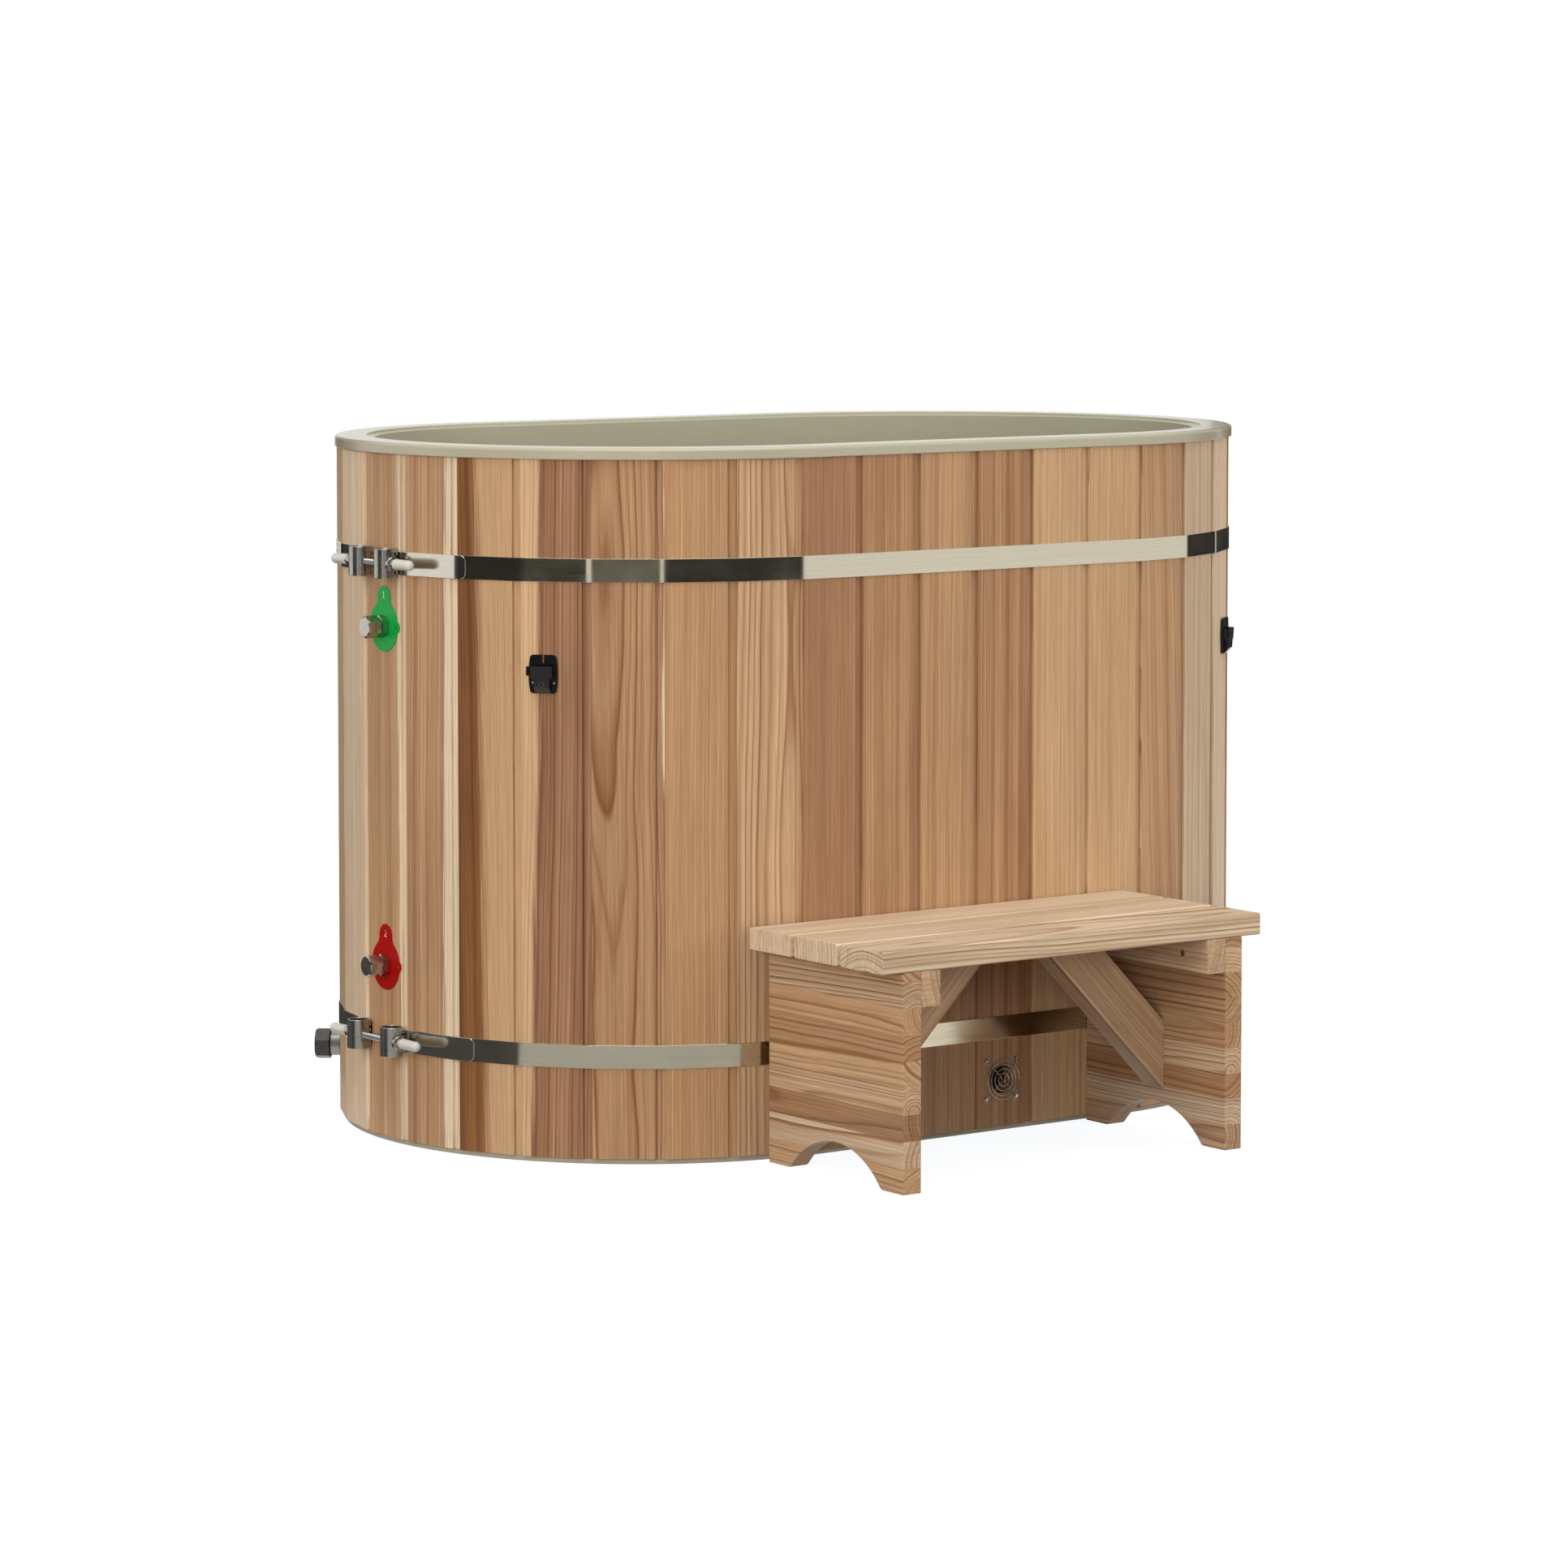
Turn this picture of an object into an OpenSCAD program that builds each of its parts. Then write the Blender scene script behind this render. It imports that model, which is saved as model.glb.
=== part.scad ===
// Oval cedar plunge tub with its step stool.
// A moulded well hangs by its rim on a ring of tongue and groove boards, drawn together by two
// screw-clamped steel hoops. Millimetres, +Z up, +X along the tub, -Y towards the step.
// The origin is on the floor under the middle of the tub.

/* [Tub] */
// Straight run between the two half-round ends
straight_l = 488; // [420:4:560]
// Radius of the round ends, over the corners of the boards
end_r = 410; // [380:2:440]
// Height of the tub, from the floor to the top of the rim
tub_h = 912; // [860:2:980]

/* [Boards] */
// Number of boards round the tub
stave_count = 38; // [36:2:40]
// Thickness of a board
stave_t = 18; // [16:0.5:22]
// Width of the sunk strip that shows beside each board
strip_w = 11.5; // [8:0.5:13]
// Depth of that strip below the face
strip_d = 4.5; // [4:0.25:5]
// Thickness of the tongue
tongue_t = 6; // [5:0.5:7]
// Length of the tongue past the joint
tongue_l = 6; // [5:0.5:7]
// Chamfer along the edges of a board's face
board_chamfer = 1; // [0.5:0.1:1.5]

/* [Shell and base] */
// Wall of the moulded shell
shell_t = 6; // [5:0.5:8]
// Distance from the boards' corners to the inside of the well
wall_total = 50; // [48:1:56]
// Radius where the well's wall meets its floor
well_cove = 24; // [20:1:25]
// Height of the well's floor above the ground
floor_h = 40; // [36:1:42]
// Thickness of the base pan under the boards
pan_t = 7; // [6:0.5:10]
// How far the pan stands back from the boards' corners
pan_inset = 6; // [4:0.5:12]
// Height of the rim above the boards
rim_h = 15; // [13:0.5:18]
// How far the rim stands out past the boards' corners
rim_over = 2.5; // [1:0.5:5]
// Radius of the rim's outer top edge
rim_round = 5; // [3:0.5:6]
// Width of the sunk ledge round the mouth
ledge_w = 10; // [8:1:12]
// Depth of that ledge
ledge_d = 4; // [3:0.5:5]

/* [Hoops and clamps] */
// Height of the hoop band
band_h = 30; // [26:1:34]
// Thickness of the hoop band
band_t = 1.5; // [1:0.25:2]
// Distance from the rim's top down to the middle of the upper hoop
upper_hoop_down = 155; // [140:1:170]
// Height of the middle of the lower hoop
lower_hoop_z = 138; // [134:1:148]
// Thickness of the doubler plate on each hoop end
end_plate_t = 1.2; // [1:0.1:2]
// Length of a doubler plate past its barrel
end_plate_l = 124; // [100:2:140]
// Outside diameter of a clamp barrel
barrel_d = 29; // [26:1:32]
// Wall of a clamp barrel
barrel_wall = 2; // [1.5:0.25:3]
// Height of a clamp barrel
barrel_h = 38; // [34:1:42]
// Distance between the upper hoop's barrels
upper_gap = 61; // [56:1:70]
// Distance between the lower hoop's barrels
lower_gap = 81; // [70:1:86]
// Diameter of a clamp rod
rod_d = 8; // [7:0.5:9]
// Width of a clamp nut across its flats
nut_af = 13; // [12.5:0.5:15]
// Thickness of a clamp nut
nut_t = 6.5; // [5:0.5:8]
// Diameter of the saddle washer behind each nut
saddle_d = 18; // [16:0.5:20]
// Space that the saddle washer fills between barrel and nut
saddle_t = 6; // [5:0.5:8]
// Where the clamps sit on the ports' board, from the middle of the board's face
clamp_x = 1.5; // [0:0.5:4]
// Diameter of the plastic cap on each rod end
tip_d = 14; // [13:0.5:16]
// Length of that cap
tip_l = 38; // [30:1:42]

/* [Water ports] */
// Distance from the rim's top down to the inlet
inlet_down = 239; // [232:1:250]
// Height of the outlet
outlet_z = 232; // [225:1:240]
// Outside diameter of the port pipes
port_d = 21.3; // [20:0.1:22]
// Bore of the port pipes
port_bore = 16; // [14:0.5:17]
// Width of the caps and collars across their flats
port_af = 25.4; // [25:0.1:28]
// Length of the hexagon collar
collar_l = 9.5; // [8:0.5:12]
// Length of the hexagon cap
port_cap_l = 19; // [17:0.5:22]
// Radius of the round body of the marker plate
plate_r = 33; // [31:0.5:35]
// Radius of the lobe above it that takes the number
lobe_r = 15; // [13:0.5:16]
// Distance from the plate's middle to the lobe's
lobe_up = 38; // [36:0.5:40]
// Thickness of the marker plate
plate_t = 1.2; // [1:0.1:2]
// Distance from the plate's middle to each of its screws
plate_screw_x = 30; // [29:0.5:31]
// Where the ports sit on their board, from the middle of the board's face
port_x = 3; // [2:0.5:4]
// Diameter of the flange inside the well
inner_flange_d = 44; // [40:1:44]

/* [Drain] */
// Height of the drain
drain_z = 88; // [86:1:92]
// Where the drain sits on its board, from the middle of the board's face
drain_x = 15; // [12:1:17]
// Outside diameter of the drain pipe
drain_d = 32; // [31:0.5:33]
// Bore of the drain pipe
drain_bore = 24; // [22:0.5:25]
// Width of the drain cap across its flats
drain_af = 37; // [36:0.5:40]
// Length of the drain cap
drain_cap_l = 19.5; // [17:0.5:22]
// Length of pipe that shows between the wall and the cap
drain_neck = 16; // [13:0.5:18]

/* [Cover latches] */
// Distance from the rim's top down to the middle of the latches
latch_down = 287; // [275:1:300]
// How far a latch sits off the middle of its board, towards the tub's end
latch_shift = 15.5; // [14:0.5:16]
// Width of a latch
latch_w = 38; // [37:0.5:39]
// Height of a latch
latch_h = 49; // [47:0.5:52]
// Thickness of the latch's base
latch_base_t = 4; // [3.5:0.5:5]
// Thickness over the latch's pocket
latch_full_t = 12.5; // [12:0.5:14]
// Width of the block that holds the pocket
pocket_block_w = 28.6; // [28:0.2:29]
// Distance from the latch's top to the pocket's mouth
pocket_top = 14; // [13:0.5:15]
// Width of the pocket
pocket_w = 23; // [21:0.5:23.5]
// Depth of the pocket below its mouth
pocket_deep = 16.5; // [14:0.5:17]
// Wall in front of the pocket
pocket_wall = 2; // [1.5:0.25:2.5]
// Diameter of the key cylinder
key_d = 9; // [8:0.5:9.5]
// Height of the release tab
tab_h = 12; // [10:0.5:12]
// Thickness of the release tab
tab_t = 4; // [3:0.25:4.25]
// Travel of the release tab
tab_travel = 2; // [1.5:0.1:2.4]

/* [Vent] */
// Height of the vent
vent_z = 69; // [66:1:76]
// Diameter of the hole in the board
vent_d = 38; // [34:1:40]
// Distance between the guard's screws
guard_pitch = 50; // [48:0.5:52]
// Diameter of the guard's wire
wire_d = 1.4; // [1.2:0.1:2]
// Radius of the guard's outer ring
guard_r = 26.5; // [25.5:0.5:27]
// Radius step from one ring to the next
guard_step = 6; // [5.5:0.25:6.5]
// Height of the rings above the board
guard_lift = 5; // [4:0.5:7]

/* [Step] */
// Length of the step's planks
step_l = 612; // [560:2:660]
// Height of the step
step_h = 304; // [290:1:320]
// Width of a plank
plank_w = 89; // [84:1:95]
// Thickness of a plank
plank_t = 28; // [24:1:32]
// Gap between planks
plank_gap = 7; // [5:0.5:10]
// Rounding of a plank's edges
plank_round = 2.5; // [1:0.5:4]
// How far the planks overhang the side panels
plank_over = 31; // [24:1:36]
// Thickness of a side panel
panel_t = 28; // [24:1:32]
// Width of the arch cut in a panel's foot
arch_w = 190; // [170:2:200]
// Height of that arch
arch_h = 46; // [40:1:56]
// Rounding where the arch meets the foot
arch_round = 9; // [6:0.5:12]
// Width of the cleat inside a panel's top
cleat_w = 30; // [26:1:34]
// Height of the cleat
cleat_h = 45; // [40:1:50]
// Reach of the brace's lower edge from the corner
brace_reach = 212; // [200:1:220]
// Width of the brace across its grain
brace_w = 63; // [56:1:68]
// Thickness of the brace
brace_t = 38; // [32:1:44]
// Place of the step's middle along the tub
step_x = -63; // [-100:1:0]
// Clearance between the step and the hoops
step_clear = 0.3; // [0.3:0.1:20]

/* [Hidden] */

$fn = 96;
eps = 0.01;            // overcut that keeps a cut's faces off the solid's own
seat_gap = 0.05;       // face to face pieces that are pressed together
run_gap = 0.08;        // radial gap of what turns or slides in a bore
hole_gap = 0.4;        // radial gap of a pipe or screw in its hole
band_gap = 0.05;       // gap between the boards' faces and a hoop

// ---- plan of the tub ----
quarter_l = PI * end_r / 2;
perimeter = 2 * straight_l + 4 * quarter_l;
pitch = perimeter / stave_count;
half_l = straight_l / 2;
stave_top = tub_h - rim_h;
upper_hoop_z = tub_h - upper_hoop_down;
inlet_z = tub_h - inlet_down;
latch_z = tub_h - latch_down;

function deg(arc) = arc / end_r * 180 / PI;
function wrapped(s) = s - perimeter * floor(s / perimeter);
// Point on the tub's outline, s along it from the left end towards the front
function outline_pt(along) = let (s = wrapped(along))
  s < quarter_l ? [-half_l - end_r * cos(deg(s)), -end_r * sin(deg(s))]
  : s < quarter_l + straight_l ? [s - quarter_l - half_l, -end_r]
  : s < 3 * quarter_l + straight_l ? let (a = deg(s - quarter_l - straight_l))
      [half_l + end_r * sin(a), -end_r * cos(a)]
  : s < 3 * quarter_l + 2 * straight_l ? [half_l - (s - 3 * quarter_l - straight_l), end_r]
  : let (a = deg(s - 3 * quarter_l - 2 * straight_l)) [-half_l - end_r * sin(a), end_r * cos(a)];

// Corners between the boards; board i runs from corner i to corner i + 1
corner = [for (i = [0:stave_count - 1]) outline_pt((i - 0.5) * pitch)];
function idx(i) = (i + stave_count) % stave_count;
function unit(v) = v / norm(v);
function along(i) = unit(corner[idx(i + 1)] - corner[idx(i)]);
function outward(i) = [along(i).y, -along(i).x];
function width(i) = norm(corner[idx(i + 1)] - corner[idx(i)]);
// Way that moves corner i so that both its boards' faces move out by 1
function miter(i) = (outward(i - 1) + outward(i)) / (1 + outward(i - 1) * outward(i));
function tangent(i) = unit(along(i - 1) + along(i));
// Point at corner i, this far along the outline and this deep under the faces
function joint_pt(i, a, depth) = corner[idx(i)] - depth * miter(i) + a * tangent(i);
function face_pt(i, t, depth) = corner[idx(i)] + t * along(i) - depth * outward(i);
// The boards' outline, moved out by d
function ring(d) = [for (i = [0:stave_count - 1]) joint_pt(i, 0, -d)];

// Middle of a board's flat face, and the turn that faces -Y out of it
function face_mid(i) = face_pt(i, (width(i) - strip_w) / 2, 0);
function face_turn(i) = atan2(outward(i).x, -outward(i).y);

module on_board(i, z, x = 0) {
  translate([face_mid(i).x, face_mid(i).y, z])
    rotate([0, 0, face_turn(i)])
      translate([x, 0, 0]) children();
}

// A round bar along -Y (out of the board), from depth y0 to height y1
module bar(d, y0, y1) {
  translate([0, y0, 0]) rotate([90, 0, 0]) cylinder(d = d, h = y0 + y1);
}

// A hexagon bar along -Y, flats up and down or corners up and down
module hex_bar(af, y0, y1, turn = 0) {
  translate([0, y0, 0]) rotate([90, 0, 0]) rotate([0, 0, turn])
    cylinder(d = af / cos(30), h = y0 + y1, $fn = 6);
}

// ---- which board does what ----
port_board = 0;
latch_board = 3;       // carries the front left latch, counted from the left end
vent_board = round(stave_count / 4 + 0.5);
front_right_board = stave_count / 2 - latch_board - 1;
back_right_board = latch_board + stave_count / 2;
back_left_board = front_right_board + stave_count / 2;
drain_board = stave_count - 3;
first_front = ceil(quarter_l / pitch);
last_front = stave_count / 2 - first_front;
plain_front = [for (i = [first_front:last_front]) if (i != vent_board) i];
plain_back = [for (i = [first_front:last_front]) i + stave_count / 2];
plain_left = [for (i = [last_front + stave_count / 2 + 1:stave_count + first_front - 1])
  if (idx(i) != port_board && idx(i) != drain_board) idx(i)];
plain_right = [for (i = [last_front + 1:first_front - 1 + stave_count / 2]) i];

// Where each latch sits: its board and its place on that board's face
latch_spots = [
  [latch_board, strip_w / 2 - latch_shift], [front_right_board, strip_w / 2 + latch_shift],
  [back_right_board, strip_w / 2 - latch_shift], [back_left_board, strip_w / 2 + latch_shift]];

// ---- latch sizes ----
latch_screw_x = 14.3;
latch_screw_z = -11.3;
small_screw_d = 3.5;
screw_head_d = 6;
screw_head_t = 2;
screw_bite = 12;       // length of a small screw inside the wood
pocket_mouth_z = latch_h / 2 - pocket_top;
key_z = -13.2;
key_in = 9;            // length of the key cylinder inside the block
key_back = 2.4;        // how far the key stands back from the latch's front
key_front = latch_full_t - key_back;
tab_down = 0.6;        // how far the release tab's slot stays below the pocket's mouth
tab_slot_z = pocket_mouth_z - tab_down - tab_h;
tab_off = 1;           // space between the tab and the latch's base
tab_front = latch_base_t + tab_off + tab_t;

// ---- boards ----
groove_gap = 0.3;      // clearance round a tongue
joint_gap = 0.5;       // half of the gap below the tongue
groove_room = 1.5;     // how much deeper a groove is than its tongue is long

module stave_profile(i) {
  j = i + 1;
  w = width(i);
  c = board_chamfer;
  groove_top = strip_d - groove_gap;
  groove_low = strip_d + tongue_t + groove_gap;
  groove_in = tongue_l + groove_room;
  polygon([
    face_pt(i, joint_gap + c, 0), face_pt(i, w - strip_w - c, 0),
    face_pt(i, w - strip_w, c), face_pt(i, w - strip_w, strip_d),
    joint_pt(j, 0, strip_d), joint_pt(j, tongue_l, strip_d),
    joint_pt(j, tongue_l, strip_d + tongue_t), joint_pt(j, -joint_gap, strip_d + tongue_t),
    joint_pt(j, -joint_gap, stave_t), joint_pt(i, joint_gap, stave_t),
    joint_pt(i, joint_gap, groove_low), joint_pt(i, groove_in, groove_low),
    joint_pt(i, groove_in, groove_top), joint_pt(i, joint_gap, groove_top),
    face_pt(i, joint_gap, c)]);
}

module stave(i) {
  translate([0, 0, pan_t]) linear_extrude(stave_top - pan_t) stave_profile(i);
}

module latch_screw_holes(spot) {
  on_board(spot[0], latch_z + latch_screw_z, spot[1])
    for (x = [-latch_screw_x, latch_screw_x])
      translate([x, 0, 0]) bar(small_screw_d + 2 * run_gap, screw_bite + 1, 1);
}

module stave_group(list) {
  difference() {
    for (i = list) stave(i);
    for (spot = latch_spots)
      if (len([for (i = list) if (i == spot[0]) i]) > 0) latch_screw_holes(spot);
  }
}

module staves_front() { color("burlywood") stave_group(plain_front); }
module staves_back() { color("burlywood") stave_group(plain_back); }
module staves_left_end() { color("tan") stave_group(plain_left); }
module staves_right_end() { color("tan") stave_group(plain_right); }

module at_port(z) { on_board(port_board, z, port_x) children(); }

module port_stave() {
  color("burlywood") difference() {
    stave(port_board);
    for (z = [inlet_z, outlet_z]) at_port(z) {
      bar(port_d + 2 * hole_gap, stave_t + 1, 1);
      for (x = [-plate_screw_x, plate_screw_x])
        translate([x, 0, 0]) bar(small_screw_d + 2 * run_gap, screw_bite + 1, 1);
    }
  }
}

module drain_stave() {
  color("burlywood") difference() {
    stave_group([drain_board]);
    on_board(drain_board, drain_z, drain_x) bar(drain_d + 2 * hole_gap, stave_t + 1, 1);
  }
}

module vent_stave() {
  color("sienna") difference() {
    stave(vent_board);
    on_board(vent_board, vent_z) {
      bar(vent_d, stave_t + 1, 1);
      guard_corners() bar(small_screw_d + 2 * run_gap, screw_bite + 1, 1);
    }
  }
}

// ---- shell, foam and base ----
well_r = end_r - wall_total;
shell_r = well_r + shell_t;

// Half of a cup's section, from its axis out to radius r, with a rounded bottom corner
module cup_half(r, z0, z1, cove) {
  translate([0, z0 + cove]) square([r, z1 - z0 - cove]);
  translate([0, z0]) square([r - cove, 2 * cove]);
  translate([r - cove, z0 + cove]) circle(cove);
}

// Half of the rim's section: a top skin, and a lip turned down on to the boards
module rim_half() {
  rim_r = end_r + rim_over;
  lip_w = shell_t + rim_over;
  channel_r = well_r + ledge_w + shell_t;
  difference() {
    translate([well_r, stave_top]) square([rim_r - well_r, rim_h]);
    translate([channel_r, stave_top - 1]) square([rim_r - lip_w - channel_r, rim_h - shell_t + 1]);
    translate([well_r - 1, tub_h - ledge_d]) square([ledge_w + 1, ledge_d + 1]);
    difference() {
      translate([rim_r - rim_round, tub_h - rim_round]) square(rim_round + 1);
      translate([rim_r - rim_round, tub_h - rim_round]) circle(rim_round);
    }
  }
}

module shell_half() {
  difference() {
    union() {
      cup_half(shell_r, floor_h - shell_t, stave_top + eps, well_cove + shell_t);
      rim_half();
    }
    cup_half(well_r, floor_h, tub_h + 1, well_cove);
  }
}

// Carries a half section round the oval
module round_oval() {
  for (side = [0, 1])
    rotate([0, 0, 180 * side]) translate([half_l, 0, 0])
      rotate([0, 0, -90]) rotate_extrude(angle = 180) children();
  translate([half_l, 0, 0]) rotate([90, 0, -90]) linear_extrude(straight_l) {
    children();
    mirror([1, 0]) children();
  }
}

wall_cut = wall_total + 20;   // length of a hole through the whole wall

module pipe_holes() {
  for (z = [inlet_z, outlet_z])
    at_port(z) bar(port_d + 2 * hole_gap, wall_cut, 1);
  on_board(drain_board, drain_z, drain_x) bar(drain_d + 2 * hole_gap, wall_cut, 1);
}

module tub_shell() {
  color("lightgray") difference() {
    round_oval() shell_half();
    pipe_holes();
  }
}

module oval(r, z0, z1) {
  $fn = 360;
  for (x = [-half_l, half_l]) translate([x, 0, z0]) cylinder(r = r, h = z1 - z0);
  translate([-half_l, -r, z0]) cube([straight_l, 2 * r, z1 - z0]);
}

module base_pan() {
  color("darkgray") oval(end_r - pan_inset, 0, pan_t - seat_gap);
}

vent_box = guard_pitch + 6;   // hollow in the foam behind the vent, square
vent_back = 2;                // foam left between that hollow and the shell

module foam_jacket() {
  color("khaki") difference() {
    translate([0, 0, pan_t]) linear_extrude(stave_top - seat_gap - pan_t)
      polygon(ring(-stave_t - seat_gap));
    round_oval()
      cup_half(shell_r + seat_gap, floor_h - shell_t - seat_gap, tub_h, well_cove + shell_t);
    pipe_holes();
    on_board(vent_board, vent_z) translate([-vent_box / 2, 0, -vent_box / 2])
      cube([vent_box, wall_total - shell_t - vent_back, vent_box]);
  }
}

// ---- hoops and clamps ----
band_out = band_gap + band_t;
plate_out = band_out + seat_gap + end_plate_t;
rod_out = plate_out + seat_gap + barrel_d / 2;
clamps = [[upper_hoop_z, upper_gap], [lower_hoop_z, lower_gap]];
end_plate_r = 7;       // rounding of a doubler plate's free corners

// A band round the boards at height z, between two distances from their faces
module band(z, near, far) {
  translate([0, 0, z - band_h / 2]) linear_extrude(band_h) difference() {
    polygon(ring(far));
    polygon(ring(near));
  }
}

module hoop(z, gap) {
  difference() {
    band(z, band_gap, band_out);
    on_board(port_board, z, clamp_x) cube([gap, barrel_d, band_h + 2], center = true);
  }
}

// Both doubler plates of a hoop, square at the barrel and rounded at the free end
module end_plates(z, gap) {
  intersection() {
    band(z, band_out + seat_gap, plate_out);
    on_board(port_board, z, clamp_x)
      rotate([90, 0, 0]) translate([0, 0, -end_r / 2]) linear_extrude(end_r)
      for (side = [0, 1]) mirror([side, 0]) translate([(gap + end_plate_l) / 2, 0]) {
        rounded_rect(end_plate_l, band_h, end_plate_r);
        translate([-end_plate_l / 2, -band_h / 2]) square([end_plate_l / 2, band_h]);
      }
  }
}

module upper_hoop() { color("silver") hoop(upper_hoop_z, upper_gap); }
module lower_hoop() { color("silver") hoop(lower_hoop_z, lower_gap); }
module upper_end_plates() { color("gainsboro") end_plates(upper_hoop_z, upper_gap); }
module lower_end_plates() { color("gainsboro") end_plates(lower_hoop_z, lower_gap); }

// Puts a clamp's parts at its rod, which lies along X here
module at_clamps() {
  for (c = clamps) on_board(port_board, c[0], clamp_x) translate([0, -rod_out, 0]) {
    gap = c[1];
    for (side = [0, 1]) mirror([side, 0, 0]) translate([gap / 2, 0, 0]) children();
  }
}

module x_bar(d, x0, x1, fn = $fn) {
  translate([x0, 0, 0]) rotate([0, 90, 0]) cylinder(d = d, h = x1 - x0, $fn = fn);
}

rod_hole_d = rod_d + 2 * hole_gap;
nut_x = barrel_d / 2 + saddle_t;
tip_x = nut_x + nut_t + seat_gap;
tip_bite = 12;         // how far a rod end reaches into its plastic cap

module clamp_barrels() {
  color("lightsteelblue") at_clamps() difference() {
    cylinder(d = barrel_d, h = barrel_h, center = true);
    cylinder(d = barrel_d - 2 * barrel_wall, h = barrel_h + 2, center = true);
    x_bar(rod_hole_d, -barrel_d, barrel_d);
  }
}

module clamp_rods() {
  color("silver") for (c = clamps) on_board(port_board, c[0], clamp_x) translate([0, -rod_out, 0])
    x_bar(rod_d, -c[1] / 2 - tip_x - tip_bite, c[1] / 2 + tip_x + tip_bite);
}

module saddle_washers() {
  color("gainsboro") at_clamps() difference() {
    x_bar(saddle_d, 0, nut_x);
    cylinder(d = barrel_d + 2 * seat_gap, h = barrel_h, center = true);
    x_bar(rod_d + 2 * run_gap, -1, nut_x + 1);
  }
}

module clamp_nuts() {
  color("silver") at_clamps() difference() {
    x_bar(nut_af / cos(30), nut_x + seat_gap, nut_x + nut_t, 6);
    x_bar(rod_d + 2 * run_gap, nut_x - 1, nut_x + nut_t + 1);
  }
}

module rod_end_caps() {
  color("whitesmoke") at_clamps() difference() {
    union() {
      x_bar(tip_d, tip_x, tip_x + tip_l - tip_d / 2);
      translate([tip_x + tip_l - tip_d / 2, 0, 0]) sphere(d = tip_d);
    }
    x_bar(rod_d + 2 * run_gap, tip_x - 1, tip_x + tip_bite + 1);
  }
}

// ---- water ports ----
ear_r = 7.5;
neck_round = 12;       // fillet between the plate's round body and its lobe
port_washer_t = 1.5;
washer_d = port_af - 0.8;
collar_y = plate_t + seat_gap;
washer_y = collar_y + collar_l + seat_gap;
cap_y = washer_y + port_washer_t + seat_gap;
cap_bore_l = 11;       // depth of a cap's bore
cap_room = 1;          // space between a pipe's end and the bottom of that bore
pipe_end = cap_y + cap_bore_l - cap_room;
flange_t = 5;

// Marker plate outline: a disc, a lobe above it with filleted flanks, and two ears
module plate_outline() {
  body_to_fillet = plate_r + neck_round;
  lobe_to_fillet = lobe_r + neck_round;
  fillet_z = (body_to_fillet ^ 2 - lobe_to_fillet ^ 2 + lobe_up ^ 2) / (2 * lobe_up);
  fillet_x = sqrt(body_to_fillet ^ 2 - fillet_z ^ 2);
  circle(plate_r);
  translate([0, lobe_up]) circle(lobe_r);
  difference() {
    polygon([[0, 0], [fillet_x, fillet_z], [0, lobe_up], [-fillet_x, fillet_z]]);
    for (side = [-1, 1]) translate([side * fillet_x, fillet_z]) circle(neck_round);
  }
  for (side = [-1, 1]) translate([side * plate_screw_x, 0]) circle(ear_r);
}

module marker_plate(z) {
  at_port(z) difference() {
    translate([0, -seat_gap, 0]) rotate([90, 0, 0])
      linear_extrude(plate_t - seat_gap) plate_outline();
    bar(port_d + 2 * hole_gap, 1, plate_t + 1);
    for (x = [-plate_screw_x, plate_screw_x])
      translate([x, 0, 0]) bar(small_screw_d + 2 * run_gap, 1, plate_t + 1);
  }
}

module inlet_plate() { color("green") marker_plate(inlet_z); }
module outlet_plate() { color("firebrick") marker_plate(outlet_z); }

// A round-headed screw whose head sits at this height above the board
module small_screw(seat) {
  bar(small_screw_d, screw_bite, seat + screw_head_t - eps);
  bar(screw_head_d, -seat - seat_gap, seat + seat_gap + screw_head_t);
}

module plate_screws() {
  color("silver") for (z = [inlet_z, outlet_z]) at_port(z)
    for (x = [-plate_screw_x, plate_screw_x]) translate([x, 0, 0]) small_screw(plate_t);
}

module port_collars() {
  color("silver") for (z = [inlet_z, outlet_z]) at_port(z) difference() {
    hex_bar(port_af, -collar_y, collar_y + collar_l, 30);
    bar(port_d + 2 * run_gap, 1, collar_y + collar_l + 1);
  }
}

// A pipe through the whole wall, with a flange seated on the well's round wall
module wall_pipe(board, z, x, d, bore, flange_d, end) {
  difference() {
    union() {
      on_board(board, z, x) bar(d, wall_total + flange_t, end);
      intersection() {
        on_board(board, z, x) bar(flange_d, wall_total + flange_t, -wall_total + flange_t);
        oval(well_r - seat_gap, 0, tub_h);
      }
    }
    on_board(board, z, x) bar(bore, wall_total + flange_t + 1, end + 1);
  }
}

module port_pipe(z) {
  wall_pipe(port_board, z, port_x, port_d, port_bore, inner_flange_d, pipe_end);
}

module inlet_pipe() { color("gray") port_pipe(inlet_z); }
module outlet_pipe() { color("gray") port_pipe(outlet_z); }

module pipe_washer(d, outer_d, y0) {
  difference() {
    bar(outer_d, -y0, y0 + port_washer_t);
    bar(d + 2 * run_gap, 1, y0 + port_washer_t + 1);
  }
}

module inlet_washer() {
  color("dimgray") at_port(inlet_z) pipe_washer(port_d, washer_d, washer_y);
}

module outlet_washer() {
  color("dimgray") at_port(outlet_z) pipe_washer(port_d, washer_d, washer_y);
}

cap_land = 0.6;        // how far a cap's flat front stops short of its flats
cap_slope = 1;         // extra length of the chamfer round that front

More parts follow.
